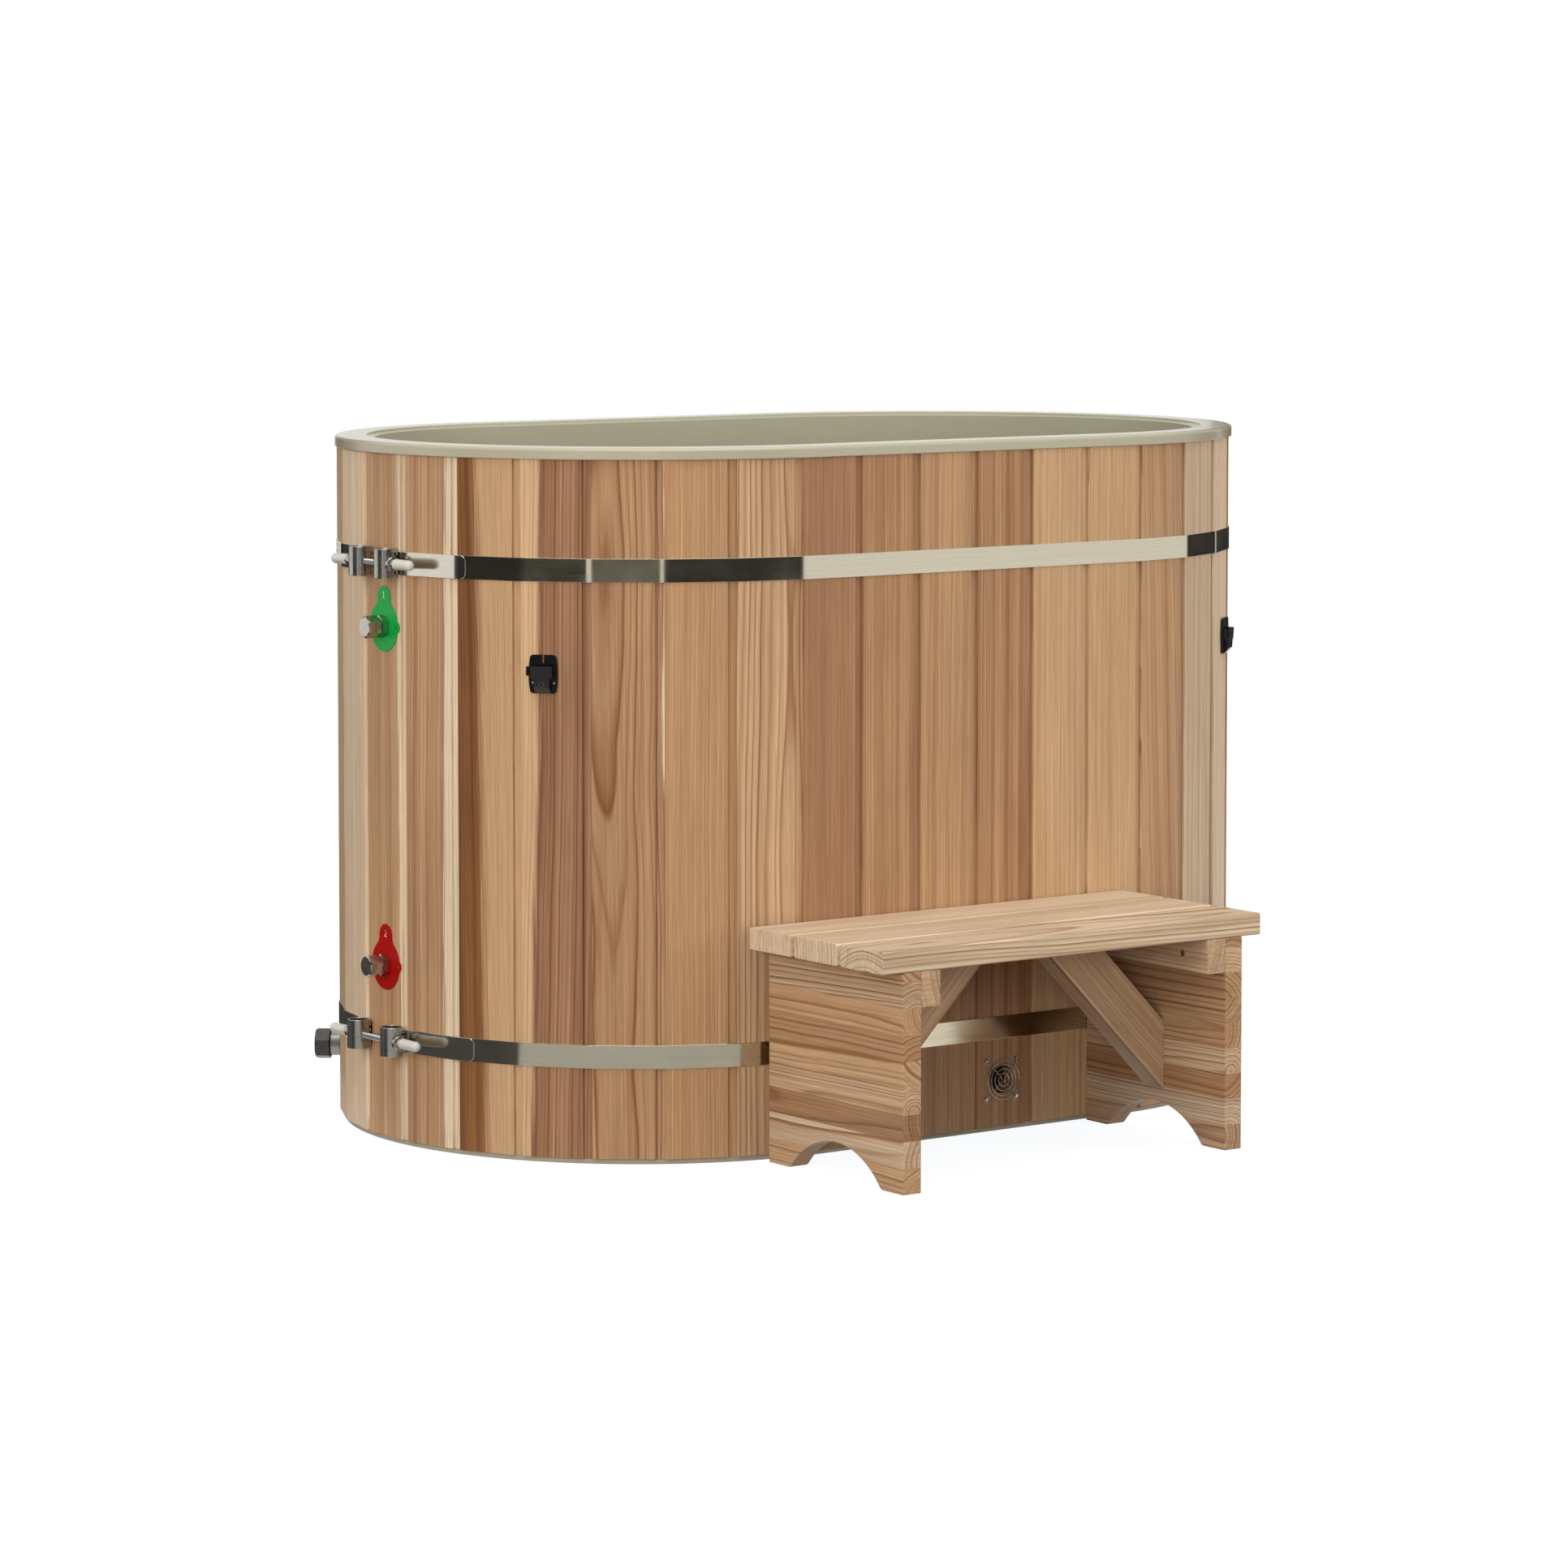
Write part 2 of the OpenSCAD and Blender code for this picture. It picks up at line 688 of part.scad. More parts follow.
// Hexagon cap with a blind bore and a turned chamfer round its front face
module hex_cap(af, d, y0, len, turn) {
  corner_r = af / 2 / cos(30);
  chamfer_l = corner_r - af / 2 + cap_land + cap_slope;
  difference() {
    intersection() {
      hex_bar(af, -y0, y0 + len, turn);
      translate([0, -y0, 0]) rotate([90, 0, 0]) rotate_extrude() polygon([
        [0, 0], [corner_r + 1, 0], [corner_r + 1, len - chamfer_l], [af / 2 - cap_land, len],
        [0, len]]);
    }
    bar(d + 2 * run_gap, -y0 + 1, y0 + cap_bore_l);
  }
}

module inlet_cap() {
  color("silver") at_port(inlet_z) hex_cap(port_af, port_d, cap_y, port_cap_l, 30);
}

module outlet_cap() {
  color("silver") at_port(outlet_z) hex_cap(port_af, port_d, cap_y, port_cap_l, 18);
}

// ---- drain ----
escutcheon_d = 60;
escutcheon_t = 3.5;
escutcheon_edge = 1;    // thickness of the dish at its rim
escutcheon_flat = 2;    // width of the flat round the pipe
drain_cap_y = drain_neck + port_washer_t + seat_gap;
drain_thread_d = drain_d - 2;

module at_drain() { on_board(drain_board, drain_z, drain_x) children(); }

module drain_escutcheon() {
  color("silver") at_drain() difference() {
    rotate([90, 0, 0]) rotate_extrude() polygon([
      [0, seat_gap], [escutcheon_d / 2, seat_gap], [escutcheon_d / 2, escutcheon_edge],
      [drain_d / 2 + escutcheon_flat, escutcheon_t], [0, escutcheon_t]]);
    bar(drain_d + 2 * run_gap, 1, escutcheon_t + 1);
  }
}

module drain_pipe() {
  color("silver") difference() {
    union() {
      wall_pipe(drain_board, drain_z, drain_x, drain_d, drain_bore, inner_flange_d,
        drain_neck - seat_gap);
      at_drain() bar(drain_thread_d, 0, drain_cap_y + cap_bore_l - cap_room);
    }
    at_drain() bar(drain_bore, 1, drain_cap_y + cap_bore_l);
  }
}

module drain_washer() {
  color("dimgray") at_drain() pipe_washer(drain_thread_d, drain_d + 2, drain_neck);
}

module drain_cap() {
  color("dimgray") at_drain() hex_cap(drain_af, drain_thread_d, drain_cap_y, drain_cap_l, 18);
}

// ---- cover latches ----
module rounded_rect(w, h, r) {
  square([w - 2 * r, h], center = true);
  square([w, h - 2 * r], center = true);
  for (x = [-1, 1]) for (y = [-1, 1])
    translate([x * (w / 2 - r), y * (h / 2 - r)]) circle(r);
}

latch_corner_r = 7;
head_land = 1;          // flat of the base left bare round a screw head
foot_slope = [1.5, 8];  // how far the latch's foot leans back, and over what height
latch_side_r = 120;     // slow curve of the latch's long sides

module latch_outline() {
  intersection() {
    rounded_rect(latch_w, latch_h, latch_corner_r);
    translate([latch_side_r - latch_w / 2, 0]) circle(latch_side_r);
    translate([latch_w / 2 - latch_side_r, 0]) circle(latch_side_r);
  }
}

// The block in front of the base: wide over the pocket, narrow between the screws
module block_outline() {
  half = pocket_block_w / 2;
  narrow = latch_screw_x - screw_head_d / 2 - head_land;
  shoulder_z = latch_screw_z + screw_head_d / 2 + head_land;
  polygon([
    [-half, pocket_mouth_z], [-half, shoulder_z + half - narrow], [-narrow, shoulder_z],
    [-narrow, -latch_h / 2], [narrow, -latch_h / 2], [narrow, shoulder_z],
    [half, shoulder_z + half - narrow], [half, pocket_mouth_z]]);
}

// Side view of the latch: base, pocket block and its sloped foot
module latch_side() {
  polygon([
    [0, -latch_h / 2], [latch_base_t, -latch_h / 2],
    [latch_full_t - foot_slope.x, -latch_h / 2 + foot_slope.y], [latch_full_t, pocket_mouth_z],
    [latch_base_t, pocket_mouth_z], [latch_base_t, latch_h / 2], [0, latch_h / 2]]);
}

slot_w = 3;
slot_l = 11;
keyhole_w = 1.6;
keyhole_deep = 3;

module latch_body() {
  difference() {
    intersection() {
      translate([0, -seat_gap, 0]) rotate([90, 0, 0]) {
        linear_extrude(latch_base_t - seat_gap) latch_outline();
        linear_extrude(latch_full_t) intersection() {
          block_outline();
          latch_outline();
        }
      }
      rotate([90, 0, -90]) translate([0, 0, -latch_w]) linear_extrude(2 * latch_w) latch_side();
    }
    // slot in the base's top edge
    translate([-slot_w / 2, -latch_base_t - 1, latch_h / 2 - slot_l + slot_w / 2])
      cube([slot_w, latch_base_t + 2, slot_l]);
    translate([0, 0, latch_h / 2 - slot_l + slot_w / 2]) bar(slot_w, 1, latch_base_t + 1);
    // pocket, open at the top
    translate([-pocket_w / 2, -latch_full_t + pocket_wall, pocket_mouth_z - pocket_deep])
      cube([pocket_w, latch_full_t - pocket_wall - latch_base_t, pocket_deep + 1]);
    // window for the release tab
    translate([-pocket_block_w / 2 - 1, -tab_front - run_gap, tab_slot_z - run_gap])
      cube([pocket_block_w / 2 - pocket_w / 2 + 2, tab_t + 2 * run_gap, tab_h + 2 * run_gap]);
    // key cylinder's bore and the screw holes
    translate([0, 0, key_z]) bar(key_d + 2 * run_gap, -latch_full_t + key_in, latch_full_t + 1);
    for (x = [-latch_screw_x, latch_screw_x]) translate([x, 0, latch_screw_z]) {
      bar(small_screw_d + 2 * run_gap, 1, latch_base_t + 1);
      bar(screw_head_d + 2 * hole_gap, -latch_base_t + screw_head_t, latch_full_t);
    }
  }
}

module key_cylinder() {
  difference() {
    translate([0, 0, key_z]) bar(key_d, -latch_full_t + key_in - seat_gap, key_front);
    translate([-keyhole_w / 2, -key_front - 1, key_z - key_d / 4])
      cube([keyhole_w, keyhole_deep + 1, key_d / 2]);
  }
}

// Button that stands out past the latch's side by its travel
module release_tab() {
  translate([-latch_w / 2 - tab_travel, -tab_front, tab_slot_z])
    cube([latch_w / 2 + tab_travel - pocket_w / 2, tab_t, tab_h]);
}

module at_latch(k) { on_board(latch_spots[k][0], latch_z, latch_spots[k][1]) children(); }

module latch_front_left() { color("black") at_latch(0) latch_body(); }
module latch_front_right() { color("black") at_latch(1) latch_body(); }
module latch_back_right() { color("black") at_latch(2) latch_body(); }
module latch_back_left() { color("black") at_latch(3) latch_body(); }
module key_front_left() { color("dimgray") at_latch(0) key_cylinder(); }
module key_front_right() { color("dimgray") at_latch(1) key_cylinder(); }
module key_back_right() { color("dimgray") at_latch(2) key_cylinder(); }
module key_back_left() { color("dimgray") at_latch(3) key_cylinder(); }
module tab_front_left() { color("darkslategray") at_latch(0) release_tab(); }
module tab_front_right() { color("darkslategray") at_latch(1) release_tab(); }
module tab_back_right() { color("darkslategray") at_latch(2) release_tab(); }
module tab_back_left() { color("darkslategray") at_latch(3) release_tab(); }

module latch_screws() {
  color("silver") for (k = [0:3]) at_latch(k)
    for (x = [-latch_screw_x, latch_screw_x]) translate([x, 0, latch_screw_z])
      small_screw(latch_base_t - screw_head_t);
}

// ---- vent ----
module guard_corners() {
  for (x = [-1, 1]) for (z = [-1, 1])
    translate([x * guard_pitch / 2, 0, z * guard_pitch / 2]) children();
}

foot_r = 3.2;           // radius of the wire loop under each screw
vent_head_d = 8;        // head that covers such a loop
leg_start = 1;          // how far past the outer ring a spoke turns down into its leg
spoke_bend = 5;         // radius where a guard wire turns from one spoke into the next

module wire_ring(r, y) {
  translate([0, -y, 0]) rotate([90, 0, 0])
    rotate_extrude() translate([r, 0]) circle(d = wire_d, $fn = 24);
}

module vent_guard() {
  ring_y = guard_lift;
  spoke_y = guard_lift - wire_d * 0.8;     // sunk a little into the rings, as welded wire is
  bend_d = wire_d * 1.15;                  // the wire swells where it is bent and thins after
  leg_d = wire_d * 0.9;
  foot_y = wire_d / 2 + seat_gap;
  corner_out = guard_pitch / 2 * sqrt(2);
  bend_r = guard_r + leg_start;
  slope_l = corner_out - foot_r - bend_r;
  slope = atan2(spoke_y - foot_y, slope_l);
  color("silver") on_board(vent_board, vent_z) {
    for (k = [0:3]) wire_ring(guard_r - k * guard_step, ring_y);
    for (a = [45:90:315]) rotate([0, a, 0]) {
      translate([spoke_bend, -spoke_y, 0]) rotate([0, 90, 0])
        cylinder(d = wire_d, h = bend_r - spoke_bend, $fn = 24);
      translate([bend_r, -spoke_y, 0]) {
        sphere(d = bend_d, $fn = 24);
        rotate([0, 0, slope]) rotate([0, 90, 0])
          cylinder(d = leg_d, h = slope_l / cos(slope), $fn = 24);
      }
      translate([corner_out, 0, 0]) wire_ring(foot_r, foot_y);
    }
    // two wires cross the middle, each bent there so that it makes two of the spokes
    for (a = [0, 180]) rotate([0, a, 0]) translate([spoke_bend * sqrt(2), -spoke_y, 0])
      rotate([90, 0, 0]) rotate([0, 0, 135]) rotate_extrude(angle = 90)
        translate([spoke_bend, 0]) circle(d = leg_d, $fn = 24);
  }
}

module vent_screws() {
  color("silver") on_board(vent_board, vent_z) guard_corners() {
    bar(small_screw_d, screw_bite, wire_d + screw_head_t);
    bar(vent_head_d, -wire_d - 2 * seat_gap, wire_d + 2 * seat_gap + screw_head_t);
  }
}

// ---- step stool ----
step_deep = 3 * plank_w + 2 * plank_gap;
step_back = -end_r - band_out - step_clear;
panel_h = step_h - plank_t;
panel_in = step_l / 2 - plank_over - panel_t;     // inner face of a panel, from the middle
step_screw_d = 4.5;
step_head_d = 8.5;
step_head_t = 3;
step_screw_l = 42;
driver_l = 30;          // length of the hole bored behind a sunk head
cleat_screw_in = 50;    // distance from each end of a cleat to its screw
brace_screw_wood = 32;  // thickness of the brace where a screw goes through it
brace_screw_seat = 20;  // how much of that is left under the screw's head

// Moves to the step's own frame: its middle, its front edge and the floor
module at_step() { translate([step_x, step_back - step_deep, 0]) children(); }

module plank(n) {
  at_step() difference() {
    translate([-step_l / 2, n * (plank_w + plank_gap) + plank_w / 2, step_h - plank_t / 2])
      rotate([90, 0, 90]) linear_extrude(step_l) rounded_rect(plank_w, plank_t, plank_round);
    if (n == 1) each_side() half_step_screws(run_gap);
  }
}

module step_plank_front() { color("burlywood") plank(0); }
module step_plank_middle() { color("tan") plank(1); }
module step_plank_back() { color("burlywood") plank(2); }

roll_share = 0.6;       // share of its rounding up which a foot is cut straight

// The arch under a panel: an arc whose ends roll over into the feet
module arch_cut() {
  arc_r = (arch_w ^ 2 / 4 + arch_h ^ 2) / (2 * arch_h);
  arc_z = arch_h - arc_r;
  roll_x = sqrt((arc_r + arch_round) ^ 2 - (arch_round - arc_z) ^ 2);
  difference() {
    union() {
      translate([0, arc_z]) circle(arc_r, $fn = 180);
      translate([-roll_x, -1]) square([2 * roll_x, arch_round * roll_share + 1]);
    }
    for (side = [-1, 1]) translate([side * roll_x, arch_round]) circle(arch_round);
    translate([-2 * arc_r, -4 * arc_r - 1]) square([4 * arc_r, 4 * arc_r]);
  }
}

module each_side() {
  for (side = [0, 1]) mirror([side, 0, 0]) children();
}

// Screws in the right half of the step, as solids or, with a gap, as their holes
module half_step_screws(gap = 0) {
  d = step_screw_d + 2 * gap;
  head = step_head_d + 2 * gap;
  // through the cleat into the panel
  for (y = [cleat_screw_in, step_deep - cleat_screw_in])
    translate([panel_in - cleat_w, y, panel_h - cleat_h / 2]) screw_along_x(d, head, gap);
  // through the brace's foot into the panel, and through its top into the middle plank
  at = brace_reach - brace_screw_wood;
  translate([panel_in - brace_screw_seat, step_deep / 2, panel_h - at])
    screw_along_x(d, head, gap);
  translate([panel_in - at, step_deep / 2, panel_h - brace_screw_seat])
    rotate([0, -90, 0]) screw_along_x(d, head, gap);
}

// A flat-headed screw along +X, its head at the origin; its hole also has a way in for the driver
module screw_along_x(d, head, gap) {
  way_in = gap > 0 ? driver_l : 0;
  rotate([0, 90, 0]) {
    translate([0, 0, -way_in]) cylinder(d = head, h = step_head_t + way_in);
    cylinder(d = d, h = step_screw_l + 2 * gap);
  }
}

module panel() {
  difference() {
    translate([panel_in, 0, 0]) cube([panel_t, step_deep, panel_h - seat_gap]);
    translate([panel_in - 1, step_deep / 2, 0]) rotate([90, 0, 90])
      linear_extrude(panel_t + 2) arch_cut();
    half_step_screws(run_gap);
  }
}

module step_panel_left() { color("tan") at_step() mirror([1, 0, 0]) panel(); }
module step_panel_right() { color("tan") at_step() panel(); }

module cleat() {
  difference() {
    translate([panel_in - cleat_w, 0, panel_h - cleat_h])
      cube([cleat_w - seat_gap, step_deep, cleat_h - seat_gap]);
    half_step_screws(run_gap);
  }
}

module step_cleat_left() { color("wheat") at_step() mirror([1, 0, 0]) cleat(); }
module step_cleat_right() { color("wheat") at_step() cleat(); }

module brace() {
  inner_reach = brace_reach - brace_w * sqrt(2);
  difference() {
    translate([panel_in - seat_gap, step_deep / 2 + brace_t / 2, panel_h - seat_gap])
      rotate([90, 0, 0]) linear_extrude(brace_t) polygon([
        [0, -inner_reach], [0, -brace_reach], [-brace_reach, 0], [-inner_reach, 0]]);
    half_step_screws(run_gap);
  }
}

module step_brace_left() { color("burlywood") at_step() mirror([1, 0, 0]) brace(); }
module step_brace_right() { color("burlywood") at_step() brace(); }

module step_screws() { color("silver") at_step() each_side() half_step_screws(); }

tub_shell();
base_pan();
foam_jacket();
staves_front();
staves_back();
staves_left_end();
staves_right_end();
port_stave();
drain_stave();
vent_stave();
upper_hoop();
lower_hoop();
upper_end_plates();
lower_end_plates();
clamp_barrels();
clamp_rods();
saddle_washers();
clamp_nuts();
rod_end_caps();
inlet_plate();
outlet_plate();
plate_screws();
port_collars();
inlet_pipe();
outlet_pipe();
inlet_washer();
outlet_washer();
inlet_cap();
outlet_cap();
drain_escutcheon();
drain_pipe();
drain_washer();
drain_cap();
latch_front_left();
latch_front_right();
latch_back_right();
latch_back_left();
key_front_left();
key_front_right();
key_back_right();
key_back_left();
tab_front_left();
tab_front_right();
tab_back_right();
tab_back_left();
latch_screws();
vent_guard();
vent_screws();
step_plank_front();
step_plank_middle();
step_plank_back();
step_panel_left();
step_panel_right();
step_cleat_left();
step_cleat_right();
step_brace_left();
step_brace_right();
step_screws();
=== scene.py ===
"""Looks of an oval cedar plunge tub and its step stool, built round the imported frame.

Sums are in millimetres and Blender's meshes in metres. +Z is up, +X runs along the tub away
from the water ports, and -Y points towards the step. A local place on a board has x along the
board ring, y into the wall and z up from the floor.
"""

import logging  # noqa: E402
import math  # noqa: E402
import random  # noqa: E402
from collections.abc import Callable, Iterable, Iterator, Sequence  # noqa: E402
from contextlib import contextmanager  # noqa: E402
from dataclasses import dataclass, field  # noqa: E402
from enum import Enum  # noqa: E402

import bmesh  # noqa: E402
import bpy  # noqa: E402
from mathutils import Matrix, Vector  # noqa: E402


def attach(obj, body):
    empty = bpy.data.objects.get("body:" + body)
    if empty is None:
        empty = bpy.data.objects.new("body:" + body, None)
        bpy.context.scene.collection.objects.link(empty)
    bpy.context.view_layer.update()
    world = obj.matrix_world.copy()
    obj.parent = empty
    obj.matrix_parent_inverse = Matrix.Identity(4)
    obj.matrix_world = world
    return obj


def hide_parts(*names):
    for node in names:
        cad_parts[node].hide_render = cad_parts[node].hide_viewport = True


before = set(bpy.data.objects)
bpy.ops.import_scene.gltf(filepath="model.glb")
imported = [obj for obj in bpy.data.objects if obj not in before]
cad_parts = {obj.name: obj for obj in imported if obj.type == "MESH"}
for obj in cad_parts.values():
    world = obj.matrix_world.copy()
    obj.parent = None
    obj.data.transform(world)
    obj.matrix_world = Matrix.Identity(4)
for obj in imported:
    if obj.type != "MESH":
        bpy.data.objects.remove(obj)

LOG = logging.getLogger("plunge_tub")
MM = 0.001
MELD = 1e-6  # metres; points closer than this become one
SHARP_ANGLE = math.radians(25)  # an edge that turns more than this shades sharp
ROUNDED_ANGLE = math.radians(35)  # an edge that turns more than this is rounded
SEAT = 0.05  # gap left between pieces that rest on each other
SLIP = 0.08  # gap left round a pipe or rod in its hole
POINT = 0.001  # radius of a ring that stands for a point

Point = Sequence[float]
Pair = tuple[float, float]
Triple = tuple[float, float, float]
Profile = list[Pair]


def linear(rgb: Sequence[float]) -> Triple:
    """Turns a colour of 0 to 255 as seen on a screen into the linear values a shader takes.

    Args:
        rgb: Its red, green and blue.

    Returns:
        Their linear values.
    """
    dark = 10.31  # under this, the screen's curve is a straight line
    return tuple((c / 255 / 12.92) if c < dark else ((c / 255 + 0.055) / 1.055) ** 2.4
                 for c in rgb)


class Tone(Enum):
    """Colours of cedar, from its pale sapwood to the lines between its rings."""

    WHEAT = (226, 205, 175)
    CREAM = (216, 197, 168)
    PALE = (211, 184, 149)
    STRAW = (202, 170, 132)
    GOLD = (196, 161, 123)
    HONEY = (185, 149, 111)
    TAN = (178, 141, 103)
    AMBER = (172, 131, 92)
    ROSE = (171, 132, 99)
    UMBER = (150, 101, 58)
    LATE_STRAW = (150, 108, 68)
    LATE_GOLD = (138, 94, 57)
    LATE_ROSE = (127, 82, 51)
    LATE_RED = (108, 66, 40)
    LATE_BROWN = (88, 52, 28)


# ---------------------------------------------------------------- places and plan


def turn(axis: str, degrees: float) -> Matrix:
    """Rotation about one axis, in degrees."""
    return Matrix.Rotation(math.radians(degrees), 4, axis)


def shift(x: float = 0.0, y: float = 0.0, z: float = 0.0) -> Matrix:
    """Translation as a matrix."""
    return Matrix.Translation((x, y, z))


def axes(*rows: Sequence[float]) -> Matrix:
    """A matrix from its three upper rows."""
    return Matrix((*rows, (0, 0, 0, 1)))


MIRROR_X = Matrix.Scale(-1, 4, Vector((1, 0, 0)))


@dataclass(frozen=True)
class Outline:
    """Plan of the ring of boards: a straight run each side and a half circle at each end."""

    straight: float = 488.0
    end_r: float = 410.0
    count: int = 38
    strip: float = 11.5

    @property
    def quarter(self) -> float:
        """Length of a quarter of a round end."""
        return math.pi * self.end_r / 2

    @property
    def half(self) -> float:
        """Distance from the tub's middle to the centre of a round end."""
        return self.straight / 2

    @property
    def pitch(self) -> float:
        """Length of the outline that each board takes."""
        return (2 * self.straight + 4 * self.quarter) / self.count

    def point(self, run: float) -> Vector:
        """Point of the outline.

        Args:
            run: Distance along it from the left end towards the front.

        Returns:
            The point in plan.
        """
        run %= self.pitch * self.count
        if run < self.quarter:
            a = run / self.end_r
            return Vector((-self.half - self.end_r * math.cos(a), -self.end_r * math.sin(a)))
        run -= self.quarter
        if run < self.straight:
            return Vector((run - self.half, -self.end_r))
        run -= self.straight
        if run < 2 * self.quarter:
            a = run / self.end_r
            return Vector((self.half + self.end_r * math.sin(a), -self.end_r * math.cos(a)))
        run -= 2 * self.quarter
        if run < self.straight:
            return Vector((self.half - run, self.end_r))
        a = (run - self.straight) / self.end_r
        return Vector((-self.half - self.end_r * math.sin(a), self.end_r * math.cos(a)))

    def corner(self, i: int) -> Vector:
        """Corner between board i - 1 and board i."""
        return self.point(((i % self.count) - 0.5) * self.pitch)

    def along(self, i: int) -> Vector:
        """Direction of board i's face in plan."""
        return (self.corner(i + 1) - self.corner(i)).normalized()

    def outward(self, i: int) -> Vector:
        """Direction that board i faces."""
        a = self.along(i)
        return Vector((a.y, -a.x))

    def width(self, i: int) -> float:
        """Width of board i with its strip."""
        return (self.corner(i + 1) - self.corner(i)).length

    def joint(self, i: int, a: float, deep: float) -> Vector:
        """Point at corner i, a along the outline and deep under the faces.

        Args:
            i: Number of the corner.
            a: Distance along the outline.
            deep: Depth under the faces.

        Returns:
            The point.
        """
        before, after = self.outward(i - 1), self.outward(i)
        miter = (before + after) / (1 + before.dot(after))
        tangent = (self.along(i - 1) + self.along(i)).normalized()
        return self.corner(i) - deep * miter + a * tangent

    def face(self, i: int, t: float, deep: float) -> Vector:
        """Point t along board i's face and deep under it."""
        return self.corner(i) + t * self.along(i) - deep * self.outward(i)

    def ring(self, out: float) -> list[Vector]:
        """The board ring's corners, moved out."""
        return [self.joint(i, 0, -out) for i in range(self.count)]

    def board(self, i: int, z: float = 0.0, x: float = 0.0) -> Matrix:
        """Place of board i: from its own millimetres to the row's.

        Args:
            i: Number of the board.
            z: Height that becomes the local zero.
            x: Shift along the face from its middle.

        Returns:
            A matrix whose X runs along the board, Y into the wall and Z up.
        """
        a, o = self.along(i), self.outward(i)
        middle = self.face(i, (self.width(i) - self.strip) / 2 + x, 0)
        return axes((a.x, -o.x, 0, middle.x), (a.y, -o.y, 0, middle.y), (0, 0, 1, z))

    def oval(self, r: float, steps: int = 72, runs: int = 12) -> list[tuple[Vector, Vector]]:
        """The smooth oval that the shell follows.

        Args:
            r: Distance from the tub's middle line.
            steps: Points on each half circle.
            runs: Points on each straight side.

        Returns:
            Pairs of a point and the way out of the oval there.
        """
        made = []
        for side in (1, -1):
            for k in range(runs):
                x = side * self.half * (2 * k / runs - 1)
                made.append((Vector((x, -side * r)), Vector((0, -side))))
            for k in range(steps):
                a = math.pi * k / steps
                way = side * Vector((math.sin(a), -math.cos(a)))
                made.append((Vector((side * self.half, 0)) + r * way, way))
        return made


OUTLINE = Outline()


@dataclass(frozen=True)
class Hole:
    """A round hole through the wall, with its board and its middle's place on that board."""

    board: int
    z: float
    x: float
    bore: float

    def place(self) -> Matrix:
        """Place of its middle."""
        return OUTLINE.board(self.board, self.z, self.x)


INLET = Hole(0, 673.0, 3.0, 22.1)
OUTLET = Hole(0, 232.0, 3.0, 22.1)
DRAIN = Hole(35, 88.0, 15.0, 32.8)
VENT = Hole(10, 69.0, 0.0, 38.0)


# ---------------------------------------------------------------- meshes


def round_trip(steps: int) -> list[float]:
    """Angles of equal steps round a full turn."""
    return [2 * math.pi * k / steps for k in range(steps)]


def dome(r: float, rise: float, base: float = 0.0) -> Profile:
    """Profile of a low dome: radius falling from r while the height grows by rise above base."""
    return [(r * math.cos(a), base + rise * math.sin(a)) for a in
            (math.radians(15 * k) for k in range(6))]


def arc(cx: float, cy: float, r: float, start: float, end: float, steps: int) -> Profile:
    """Points of an arc in degrees, both ends included."""
    angles = [math.radians(start + (end - start) * k / steps) for k in range(steps + 1)]
    return [(cx + r * math.cos(a), cy + r * math.sin(a)) for a in angles]


def rounded_rect(w: float, h: float, r: float, steps: int = 5) -> Profile:
    """Outline of a rectangle with round corners, centred on zero.

    Args:
        w: Its width.
        h: Its height.
        r: Radius of its corners.
        steps: Pieces in each corner.

    Returns:
        Its points.
    """
    x, y = w / 2 - r, h / 2 - r
    made: Profile = []
    for sx, sy, start in ((1, -1, -90), (1, 1, 0), (-1, 1, 90), (-1, -1, 180)):
        made += arc(sx * x, sy * y, r, start, start + 90, steps)
    return made


